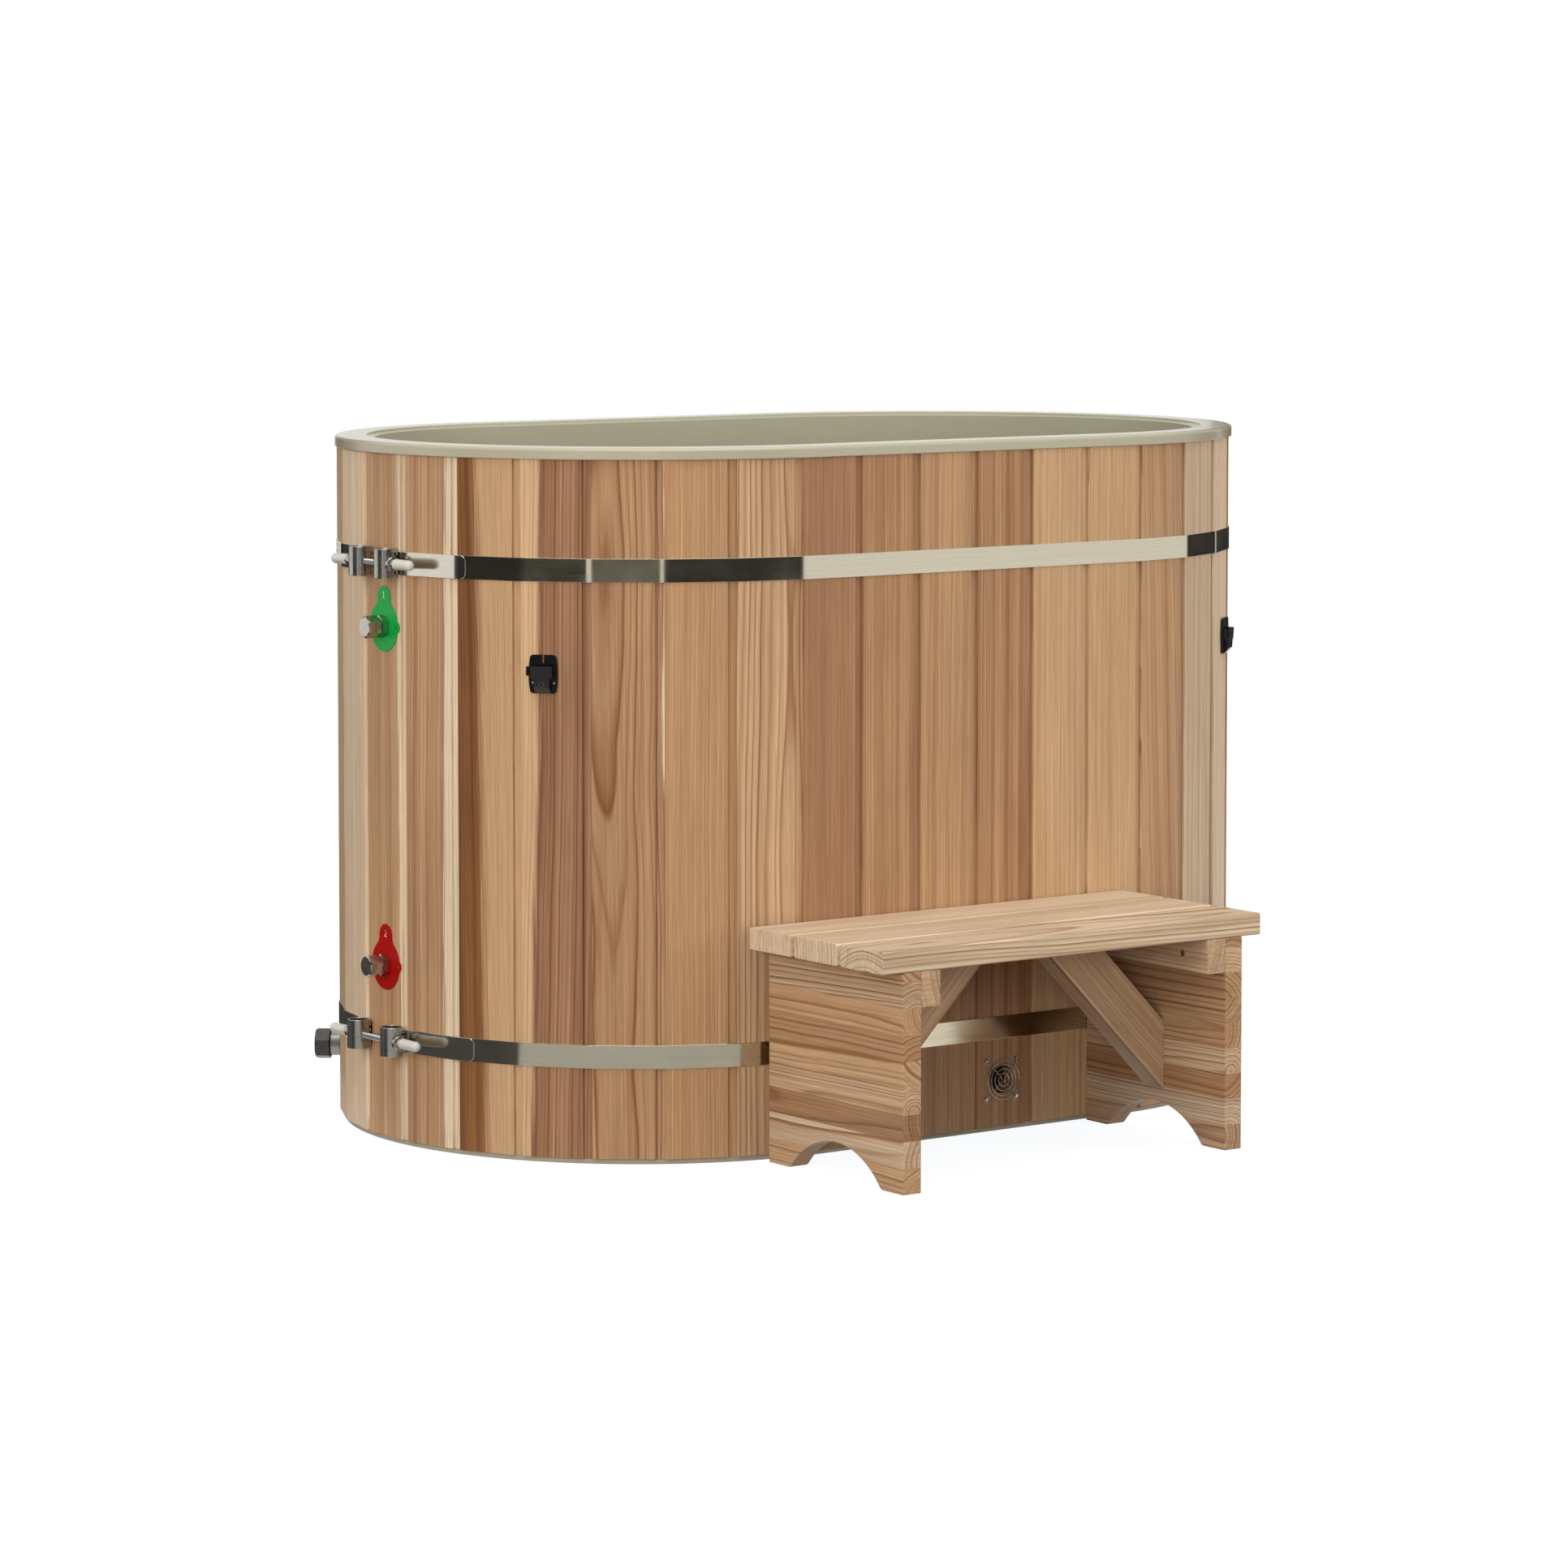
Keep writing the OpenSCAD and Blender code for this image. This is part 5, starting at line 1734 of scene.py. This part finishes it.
@dataclass
class Ports:
    """The two water ports: marker plate, screws, collar, washer, pipe and hexagon cap."""

    plate_r: float = 33.0
    lobe_r: float = 15.0
    lobe_up: float = 38.0
    ear_r: float = 7.5
    ear_x: float = 30.0
    neck: float = 12.0
    plate_t: float = 1.2
    ear_hole: float = 3.66
    pipe_d: float = 21.3
    af: float = 25.4
    collar_y: float = 1.25
    collar_l: float = 9.5
    washer_d: float = 24.6
    washer_t: float = 1.5
    cap_l: float = 19.0
    cap_bore: float = 11.0

    def outline(self) -> Profile:
        """The plate's outline: a disc, two ears and a lobe with filleted flanks.

        Returns:
            Its points.
        """
        body, lobe = self.plate_r + self.neck, self.lobe_r + self.neck
        fz = (body**2 - lobe**2 + self.lobe_up**2) / (2 * self.lobe_up)
        fx = math.sqrt(body**2 - fz**2)
        meet = math.degrees(math.atan2(fz, fx))
        rise = math.degrees(math.atan2(self.lobe_up - fz, fx))
        # where an ear's circle crosses the disc
        ear = math.degrees(math.acos(
            (self.plate_r**2 + self.ear_x**2 - self.ear_r**2) / (2 * self.plate_r * self.ear_x)))
        tip = math.radians(ear)
        turn_in = math.degrees(math.atan2(
            self.plate_r * math.sin(tip), self.plate_r * math.cos(tip) - self.ear_x))
        right = (
            arc(0, 0, self.plate_r, -90, -ear, 24)[:-1]
            + arc(self.ear_x, 0, self.ear_r, -turn_in, turn_in, 16)
            + arc(0, 0, self.plate_r, ear, meet, 14)[1:]
            + arc(fx, fz, self.neck, 180 + meet, 180 - rise, 10)[1:]
            + arc(0, self.lobe_up, self.lobe_r, -rise, 90, 18)[1:]
        )
        return right + [(-x, z) for x, z in right[-2:0:-1]]

    def plate(self, at: Matrix) -> bpy.types.Mesh:
        """One marker plate with its holes.

        Args:
            at: Its place.

        Returns:
            The mesh.
        """
        form = Form().plate(self.outline(), SEAT, self.plate_t, at)
        through = (-1.0, 3.0)
        holes = Form().drill(INLET.bore, *through, at, 64)
        for ear in self.ears(at):
            holes.drill(self.ear_hole, *through, ear, 24)
        mesh = carve(form.mesh("plate"), holes)
        with editing(mesh) as bm:
            round_edges(bm, 0.25)
        return mesh

    def ears(self, at: Matrix) -> list[Matrix]:
        """Places of a plate's two screws."""
        return [at @ shift(x=side * self.ear_x) for side in (-1, 1)]

    def numeral(self, digit: int, at: Matrix) -> Form:
        """A plain numeral printed on the lobe, drawn with strokes.

        Args:
            digit: 1 or 2.
            at: Place of the plate.

        Returns:
            The form.
        """
        up, h, w = self.lobe_up + 3.0, 8.4, 0.42
        if digit == 1:
            lines = [[(-0.3, -h / 2), (-0.3, h / 2), (-1.9, h / 2 - 1.5)],
                     [(-1.9, -h / 2), (1.3, -h / 2)]]
        else:
            bowl = arc(0, h / 2 - 2.3, 2.3, 165, -25, 12)
            lines = [bowl + [(-2.2, -h / 2)], [(-2.2, -h / 2), (2.4, -h / 2)]]
        made = Form()
        for line in lines:
            for (x0, z0), (x1, z1) in zip(line, line[1:]):
                way = Vector((x1 - x0, z1 - z0)).normalized()
                x0, z0, x1, z1 = x0 - way.x * w, z0 - way.y * w, x1 + way.x * w, z1 + way.y * w
                nx, nz = -way.y * w, way.x * w
                made.plate([(x0 + nx, up + z0 + nz), (x0 - nx, up + z0 - nz),
                            (x1 - nx, up + z1 - nz), (x1 + nx, up + z1 + nz)],
                           self.plate_t - 0.02, self.plate_t + 0.03, at)
        return made

    def build(self) -> None:
        """Makes both ports."""
        collars, screws = Form(), []
        collar_end = self.collar_y + self.collar_l
        washer_y = collar_end + SEAT
        cap_y = washer_y + self.washer_t + SEAT
        bore = self.pipe_d + 2 * SLIP
        for digit, name, hole, finish, ink, spin in (
            (1, "inlet", INLET, Finish.GREEN, Finish.WHITE, 30.0),
            (2, "outlet", OUTLET, Finish.RED, Finish.WHITE_ON_RED, 18.0),
        ):
            at = hole.place()
            piece(f"{name}_marker_plate", self.plate(at), finish, "tub", [f"{name}_plate"])
            piece(f"{name}_numeral", self.numeral(digit, at).mesh("numeral"), ink, "tub")
            screws += self.ears(at)
            collars.hexagon(self.af, self.collar_y, collar_end, at @ turn("Y", -30), bore,
                            slope=0.7)
            washer = Form().washer(self.pipe_d / 2 + SLIP, self.washer_d / 2, washer_y,
                                   washer_y + self.washer_t, at)
            piece(f"{name}_seal", washer.mesh("seal"), Finish.RUBBER, f"{name}_washer",
                  [f"{name}_washer"])
            cap = Form().hexagon(self.af, cap_y, cap_y + self.cap_l, at @ turn("Y", -spin), bore,
                                 slope=1.0, back=False, deep=self.cap_bore)
            piece(f"{name}_hex_cap", cap.mesh("cap"), Finish.PIPE, f"{name}_cap", [f"{name}_cap"])
            soften(f"{name}_pipe", Finish.PIPE, "tub", 0.5)
        piece("port_hex_collars", collars.mesh("collars"), Finish.PIPE, "tub", ["port_collars"])
        Screws("marker_plate_screws", "plate_screws", 3.0, 1.25, 2.0).build(screws)


@dataclass
class Drain:
    """The drain: a round cover plate, the threaded pipe, a washer and a hexagon cap."""

    pipe_r: float = 16.0
    thread_r: float = 15.0
    dish_r: float = 30.0
    dish_t: float = 3.5
    neck: float = 16.0
    washer_t: float = 1.5
    af: float = 37.0
    cap_l: float = 19.5
    cap_bore: float = 11.0

    def build(self) -> None:
        """Makes the drain on its board."""
        at = DRAIN.place()
        bore, r, t = self.pipe_r + SLIP, self.dish_r, self.dish_t
        dish = [(bore, SEAT), (r, SEAT), (r, 0.7), (r - 0.3, 1.0), (self.pipe_r + 2.4, t - 0.1),
                (self.pipe_r + 1.6, t), (bore, t)]
        ring = Form().lathe(dish, at, 96, solid=False)
        piece("drain_cover_dish", ring.mesh("cover"), Finish.DRAIN, "tub", ["drain_escutcheon"])
        soften("drain_pipe", Finish.DRAIN, "tub", 0.4)
        bore, end = self.thread_r + SLIP, self.neck + self.washer_t
        seal = Form().washer(bore, self.pipe_r + 1, self.neck, end, at)
        piece("drain_seal", seal.mesh("seal"), Finish.RUBBER, "drain_washer", ["drain_washer"])
        y0 = end + SEAT
        cap = Form().hexagon(self.af, y0, y0 + self.cap_l, at @ turn("Y", -18), 2 * bore,
                             slope=1.0, back=False, deep=self.cap_bore)
        piece("drain_hex_cap", cap.mesh("cap"), Finish.DRAIN_CAP, "drain_cap", ["drain_cap"])


@dataclass
class Latches:
    """Four black locks for the cover's straps, each with a key cylinder and a side button."""

    z: float = 625.0
    screw_x: float = 14.3
    screw_down: float = 11.3
    spots: dict[str, tuple[int, float]] = field(default_factory=lambda: {
        "front_left": (3, -9.75), "front_right": (15, 21.25),
        "back_right": (22, -9.75), "back_left": (34, 21.25)})

    def build(self) -> None:
        """Makes the locks with their screws."""
        places = []
        for name, (board, x) in self.spots.items():
            soften(f"latch_{name}", Finish.LATCH, "tub", 0.9)
            soften(f"key_{name}", Finish.KEY, f"key_{name}", 0.25)
            soften(f"tab_{name}", Finish.LATCH, f"tab_{name}", 0.7)
            places += [OUTLINE.board(board, self.z - self.screw_down, x + side * self.screw_x)
                       for side in (-1, 1)]
        Screws("lock_screws", "latch_screws", 3.0, 2.05, 2.0).build(places)


@dataclass
class Vent:
    """The wire guard over the vent, with the screws that hold its four feet."""

    pitch: float = 50.0
    r: float = 26.5
    step: float = 6.0
    lift: float = 5.0
    wire: float = 1.4
    rings: int = 4
    bend: float = 5.0
    foot_r: float = 3.2

    def build(self) -> None:
        """Makes the guard and its screws."""
        at = VENT.place()
        made, thin = Form(), self.wire / 2

        def ring(x: float, z: float, r: float, y: float) -> None:
            """Adds a ring of wire."""
            path = [(px, -y, pz) for px, pz in arc(x, z, r, 0, 360, 72)[:-1]]
            made.tube(path, thin, at, closed=True)

        for k in range(self.rings):
            ring(0, 0, self.r - k * self.step, self.lift)
        spoke_y, foot_y = self.lift - self.wire * 0.8, thin + SEAT
        corner, d = self.pitch / 2 * math.sqrt(2), math.sqrt(0.5)
        for side in (1, -1):
            half = [(corner - self.foot_r, foot_y), (self.r + 1.8, spoke_y - 0.5),
                    (self.r + 1.1, spoke_y - 0.1), (self.r + 0.4, spoke_y), (self.bend, spoke_y)]
            path = [(side * r * d, -y, r * d) for r, y in half]
            elbow = arc(self.bend * math.sqrt(2), 0, self.bend, 135, 225, 8)[1:-1]
            path += [(side * px, -spoke_y, pz) for px, pz in elbow]
            path += [(side * r * d, -y, -r * d) for r, y in half[::-1]]
            made.tube(path, thin * 0.92, at)
        corners = [(sx * self.pitch / 2, sz * self.pitch / 2) for sx in (-1, 1) for sz in (-1, 1)]
        for x, z in corners:
            ring(x, z, self.foot_r, foot_y)
        piece("vent_wire_guard", made.mesh("guard"), Finish.WIRE, "tub", ["vent_guard"])
        Screws("vent_guard_screws", "vent_screws", 4.0, 1.5, 2.0).build(
            [at @ shift(x, 0, z) for x, z in corners])


# ---------------------------------------------------------------- step


@dataclass
class StepStool:
    """The cedar step in front of the tub: three planks on two panels with cleats and braces."""

    length: float = 612.0
    height: float = 304.0
    plank_w: float = 89.0
    plank_t: float = 28.0
    plank_gap: float = 7.0
    round: float = 2.5
    end_ease: float = 1.0
    over: float = 31.0
    panel_t: float = 28.0
    arch_w: float = 190.0
    arch_h: float = 46.0
    arch_round: float = 9.0
    cleat_w: float = 30.0
    cleat_h: float = 45.0
    reach: float = 212.0
    brace_w: float = 63.0
    brace_t: float = 38.0
    x: float = -63.0
    back: float = -411.85
    strip: float = 33.0
    planks: tuple[Grain, ...] = (
        Grain(Tone.CREAM, Tone.LATE_GOLD, pith=(-10, 90), ring=6.0, streak=0.25, wave=14.0,
              lines=0.9),
        Grain(Tone.WHEAT, Tone.LATE_GOLD, pith=(150, 20), ring=5.0, streak=0.15, lines=0.7),
        Grain(Tone.WHEAT, Tone.LATE_STRAW, pith=(-160, 24), ring=5.0, streak=0.15, lines=0.7),
    )
    strips: tuple[Tone, ...] = (Tone.STRAW, Tone.CREAM, Tone.TAN, Tone.PALE, Tone.STRAW,
                                Tone.HONEY, Tone.GOLD, Tone.PALE, Tone.GOLD)
    # how far along its log each kind of piece lies, in metres: the first, then each next one
    plank_log: Pair = (31.0, 1.9)
    panel_log: Triple = (60.0, 3.1, 40.0)
    beam_log: Pair = (130.0, 2.3)
    first_draw: int = 70
    cut_slack: float = 1e-7

    @property
    def deep(self) -> float:
        """Depth of the step."""
        return 3 * self.plank_w + 2 * self.plank_gap

    @property
    def panel_h(self) -> float:
        """Height of a panel."""
        return self.height - self.plank_t

    @property
    def panel_in(self) -> float:
        """Distance from the middle to a panel's inner face."""
        return self.length / 2 - self.over - self.panel_t

    def place(self, side: int = 1) -> Matrix:
        """The step's own axes, mirrored for the left side."""
        at = shift(self.x, self.back - self.deep, 0)
        return at if side > 0 else at @ MIRROR_X

    def eased(self, section: Profile, start: float, end: float) -> Form:
        """Runs a section of y and z along x, a little smaller at its ends, as if they were eased.

        Args:
            section: Its outline.
            start: Where the bar starts.
            end: Where it ends.

        Returns:
            The bar.
        """
        ease = self.end_ease
        mid = Vector((sum(p[0] for p in section), sum(p[1] for p in section))) / len(section)
        rings = []
        for share, x in ((1.0, start), (0.3, start + 0.3 * ease), (0.0, start + ease),
                         (0.0, end - ease), (0.3, end - 0.3 * ease), (1.0, end)):
            rings.append([
                (x, y - math.copysign(share * ease, y - mid.x),
                 z - math.copysign(share * ease, z - mid.y)) for y, z in section
            ])
        return Form().loft(rings)

    def plank(self, n: int) -> None:
        """One plank of the top.

        Args:
            n: Its number from the front.
        """
        node = ("step_plank_front", "step_plank_middle", "step_plank_back")[n]
        y = n * (self.plank_w + self.plank_gap) + self.plank_w / 2
        z = self.height - self.plank_t / 2
        section = [(y + a, z + b) for a, b in
                   rounded_rect(self.plank_w, self.plank_t, self.round, 4)]
        form = Form().merge(self.eased(section, -self.length / 2, self.length / 2), self.place())
        mesh = form.mesh(node)
        # along the plank, across it, and down from its top
        log = axes((0, 1, 0, -(self.back - self.deep + y)), (0, 0, -1, self.height), (1, 0, 0, 0))
        offset = self.plank_log[0] + self.plank_log[1] * n
        dress(mesh, lambda _tag, _mid: Timber(self.planks[n], log, offset))
        piece(node + "_cedar", mesh, Finish.STEP, "step", [node])

    def arch(self) -> Profile:
        """Outline of a panel seen from its side, as depth and height, with the arch's feet.

        Returns:
            Its points.
        """
        r = (self.arch_w**2 / 4 + self.arch_h**2) / (2 * self.arch_h)
        foot, z = self.arch_round, self.arch_h - r
        roll = math.sqrt((r + foot) ** 2 - (foot - z) ** 2)
        meet = math.degrees(math.atan2(foot - z, roll))
        mid, top = self.deep / 2, self.panel_h - SEAT
        half = arc(roll, foot, foot, 270, 180 + meet, 5) + arc(0, z, r, meet, 90, 24)[1:]
        outer = [(2 * mid, 0.0), (2 * mid, top), (0.0, top), (0.0, 0.0)]
        return outer + [(mid - x, h) for x, h in half] + [(mid + x, h) for x, h in half[-2::-1]]

    def panel_grains(self, side: int) -> list[Grain]:
        """The grain of each strip of a panel.

        Args:
            side: 1 for the right panel, -1 for the left.

        Returns:
            The grains from the floor up.
        """
        draw = random.Random(self.first_draw + side)
        lates = [Tone.LATE_ROSE, Tone.LATE_RED, Tone.LATE_GOLD]
        return [
            Grain(tone, draw.choice(lates), pith=(draw.uniform(-60, 60), draw.uniform(14, 60)),
                  ring=draw.uniform(4.0, 7.0), streak=draw.uniform(0.2, 0.4), wave=14.0,
                  lines=0.9)
            for tone in self.strips
        ]

    def panel(self, side: int) -> None:
        """One side panel, glued up from strips that run front to back.

        Args:
            side: 1 for the right panel, -1 for the left.
        """
        node = "step_panel_right" if side > 0 else "step_panel_left"
        x0, x1, profile = self.panel_in, self.panel_in + self.panel_t, self.arch()
        mesh = Form().loft(
            [[(x, y, z) for y, z in profile] for x in (x0, x1)], self.place(side)
        ).mesh(node)
        with editing(mesh) as bm:
            round_edges(bm, self.end_ease)
            for k in range(1, int(self.panel_h / self.strip) + 1):
                bmesh.ops.bisect_plane(
                    bm, geom=[*bm.verts, *bm.edges, *bm.faces],
                    plane_co=(0, 0, k * self.strip * MM), plane_no=(0, 0, 1),
                    dist=self.cut_slack,
                )
        grains = self.panel_grains(side)
        face = self.x + side * x1
        first, each, apart = self.panel_log

        def timber(_tag: int, middle: Vector) -> Timber:
            """The timber of the strip that a face lies on.

            Args:
                _tag: The face's tag, not used.
                middle: The face's middle in millimetres.

            Returns:
                The timber.
            """
            k = min(int(middle.z / self.strip), len(grains) - 1)
            log = axes((0, 0, 1, -(k + 0.5) * self.strip), (-side, 0, 0, side * face),
                       (0, 1, 0, 0))
            return Timber(grains[k], log, first + each * k + apart * side)

        dress(mesh, timber)
        piece(node + "_cedar", mesh, Finish.STEP, "step", [node])

    def beam(self, name: str, seed: int, side: int, rings: list[list[Point]],
             log: Matrix) -> None:
        """A cleat or brace under the planks.

        Args:
            name: Its node.
            seed: Number that sets where it was cut from its log.
            side: 1 for the right side, -1 for the left.
            rings: Its two end faces.
            log: Its own axes: across its face, into it and along it.
        """
        mesh = Form().loft(rings, self.place(side)).mesh(name, self.end_ease)
        grain = Grain(Tone.PALE, Tone.LATE_ROSE, pith=(120.0 - 17 * seed, 18), ring=2.6,
                      streak=0.3)
        offset = self.beam_log[0] + self.beam_log[1] * seed
        dress(mesh, lambda _tag, _mid: Timber(grain, log, offset))
        piece(name + "_cedar", mesh, Finish.STEP, "step", [name])

    def frame_parts(self, side: int) -> None:
        """The cleat and the brace on one side.

        Args:
            side: 1 for the right side, -1 for the left.
        """
        name = "right" if side > 0 else "left"
        x0, z0 = self.panel_in - self.cleat_w, self.panel_h - self.cleat_h
        px, pz = self.panel_in - SEAT, self.panel_h - SEAT
        bar = [(x0, z0), (px, z0), (px, pz), (x0, pz)]
        self.beam(f"step_cleat_{name}", side + 2, side,
                  [[(x, y, z) for x, z in bar] for y in (0.0, self.deep)],
                  axes((0, 0, 1, -z0), (1, 0, 0, 0), (0, 1, 0, 0)))
        inner = self.reach - self.brace_w * math.sqrt(2)
        flat = [(px, pz - inner), (px, pz - self.reach), (px - self.reach, pz), (px - inner, pz)]
        y0, d = self.deep / 2 - self.brace_t / 2, math.sqrt(0.5)
        # along the slope, across it, and in from its front face
        log = axes((side * d, 0, d, -side * self.x * d), (0, 1, 0, -(self.back - self.deep / 2)),
                   (side * d, 0, -d, 0))
        self.beam(f"step_brace_{name}", side + 7, side,
                  [[(x, y, z) for x, z in flat] for y in (y0, y0 + self.brace_t)], log)

    def build(self) -> None:
        """Makes the whole step."""
        for n in range(3):
            self.plank(n)
        for side in (-1, 1):
            self.panel(side)
            self.frame_parts(side)
        keep("step_screws", Finish.SCREW)


# ---------------------------------------------------------------- studio


@dataclass
class Studio:
    """White room with soft lamps, dark cards for the steel to mirror, and the camera."""

    camera_at: Triple = (-4.3132, -5.8795, 1.2480)
    yaw: float = 36.18
    pitch: float = -3.93
    lens: float = 123.02
    sensor: float = 36.0
    shift_y: float = -0.15
    floor_size: float = 60.0
    floor_lift: Triple = (0.9, 0.934, 0.958)
    floor_colour: Triple = (0.17, 0.115, 0.075)
    world: float = 0.6
    aim: Triple = (0.0, -0.2, 0.4)
    # distance from an end's centre and height, of a card's foot and of its head
    wall: tuple[Pair, Pair] = ((4.2, 0.0), (4.2, 3.2))
    ground: tuple[Pair, Pair] = ((0.55, 0.002), (4.2, 0.002))

    def camera(self) -> None:
        """Stands the camera where the photo's view fits the frame."""
        data = bpy.data.cameras.new("photo_camera")
        data.sensor_width, data.lens, data.shift_y = self.sensor, self.lens, self.shift_y
        data.clip_end = 100.0
        made = link("photo_camera", data)
        yaw, pitch = math.radians(self.yaw), math.radians(self.pitch)
        ahead = Vector((math.sin(yaw) * math.cos(pitch), math.cos(yaw) * math.cos(pitch),
                        math.sin(pitch)))
        right = Vector((math.cos(yaw), -math.sin(yaw), 0))
        up = right.cross(ahead)
        turn_to = Matrix((right, up, -ahead)).transposed().to_4x4()
        made.matrix_world = Matrix.Translation(self.camera_at) @ turn_to
        bpy.context.scene.camera = made

    def lamp(self, name: str, at: Triple, size: Pair, watts: float, mirrored: bool) -> None:
        """One soft rectangular lamp that faces the tub.

        Args:
            name: Its name.
            at: Where it hangs, in metres.
            size: Its width and height.
            watts: Its power.
            mirrored: Whether metal shows it.
        """
        data = bpy.data.lights.new(name, "AREA")
        data.shape, data.energy = "RECTANGLE", watts
        data.size, data.size_y = size
        made = link(name, data)
        way = Vector(self.aim) - Vector(at)
        made.matrix_world = shift(*at) @ way.to_track_quat("-Z", "Y").to_matrix().to_4x4()
        made.visible_glossy = mirrored

    def card(self, name: str, start: float, end: float, spread: tuple[Pair, Pair], grey: float,
             x: float) -> None:
        """A curved card round one end of the tub, that only mirror-like surfaces see.

        Args:
            name: Its name.
            start: Compass angle in degrees where it starts, from +X towards +Y.
            end: Where it ends.
            spread: Distance from the end's centre and height, of its foot and of its head.
            grey: How light it is.
            x: Place of that centre along the tub.
        """
        rims = [[(x + r * px, r * py, z) for r, z in spread]
                for px, py in arc(0, 0, 1.0, start, end, 12)]
        faces = [(2 * k, 2 * k + 2, 2 * k + 3, 2 * k + 1) for k in range(len(rims) - 1)]
        look = Surface(name).finished(Base_Color=(grey,) * 3, Roughness=1.0,
                                      Specular_IOR_Level=0.0)
        made = self.sheet([p for rim in rims for p in rim], faces, look)
        made.visible_camera = made.visible_diffuse = made.visible_shadow = False

    def sheet(self, points: list[Triple], faces: list[tuple[int, ...]],
              look: bpy.types.Material) -> bpy.types.Object:
        """A sheet that belongs to the room and not to the tub, named as its material is.

        Args:
            points: Its points, in metres.
            faces: Its faces.
            look: Its material.

        Returns:
            The object.
        """
        mesh = bpy.data.meshes.new(look.name)
        mesh.from_pydata(points, [], faces)
        mesh.materials.append(look)
        made = link(look.name, mesh)
        return made

    def floor(self) -> None:
        """A wide pale floor that keeps the object's shadow."""
        s = self.floor_size / 2
        n = Surface("studio_floor")
        look = n.finished(
            Base_Color=self.floor_colour, Roughness=0.9, Specular_IOR_Level=0.0,
            Emission_Color=self.floor_lift, Emission_Strength=n.seen(),
        )
        self.sheet([(-s, -s, 0), (s, -s, 0), (s, s, 0), (-s, s, 0)], [(0, 1, 2, 3)], look)

    def room(self) -> None:
        """The white surroundings."""
        world = bpy.data.worlds.new("white_room")
        bpy.context.scene.world = world
        world.use_nodes = True
        n = Nodes(world.node_tree)
        light = n.node("Background", (1.0, 0.995, 0.985, 1), self.world)
        shown = n.node("Background", (1, 1, 1, 1), 1.0)
        mixed = n.node("MixShader", n.seen(), light.outputs[0], shown.outputs[0])
        n.node("OutputWorld", mixed.outputs[0])

    def build(self) -> None:
        """Sets up the picture."""
        scene = bpy.context.scene
        scene.view_settings.view_transform = "Standard"
        self.camera()
        self.room()
        self.floor()
        for name, at, size, watts, mirrored in (
            ("overhead", (-0.4, -1.2, 4.2), (3.6, 3.0), 80.0, True),
            ("left_window", (-4.4, -1.8, 1.6), (1.6, 2.6), 80.0, False),
            ("front_window", (-4.0, -4.6, 1.1), (2.2, 1.8), 105.0, False),
            ("right_window", (3.6, -4.0, 1.8), (1.6, 2.6), 95.0, False),
        ):
            self.lamp(name, at, size, watts, mirrored)
        left, right = -OUTLINE.half * MM, OUTLINE.half * MM
        for name, start, end, spread, grey, x in (
            ("far_left", 76.0, 108.0, self.wall, 0.03, left),
            ("back_left", 162.0, 209.0, self.wall, 0.05, left),
            ("front_left", 218.0, 234.5, self.wall, 0.2, left),
            ("front", 241.0, 289.0, self.wall, 0.05, left),
            ("right", -15.0, 8.0, self.wall, 0.03, right),
            ("far_right", 14.0, 44.0, self.wall, 0.03, right),
            ("back_floor", 76.0, 193.0, self.ground, 0.06, left),
            ("front_floor", 193.0, 294.0, self.ground, 0.45, left),
        ):
            self.card(f"{name}_card", start, end, spread, grey, x)


def main() -> None:
    """Builds the tub, its fittings, the step and the studio."""
    logging.basicConfig(level=logging.INFO, format="%(message)s")
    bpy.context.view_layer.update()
    for part in (StaveRing(), Shell(), Hoops(), Ports(), Drain(), Latches(), Vent(), StepStool(),
                 Studio()):
        LOG.info("building %s", type(part).__name__)
        part.build()


if __name__ == "__main__":
    main()
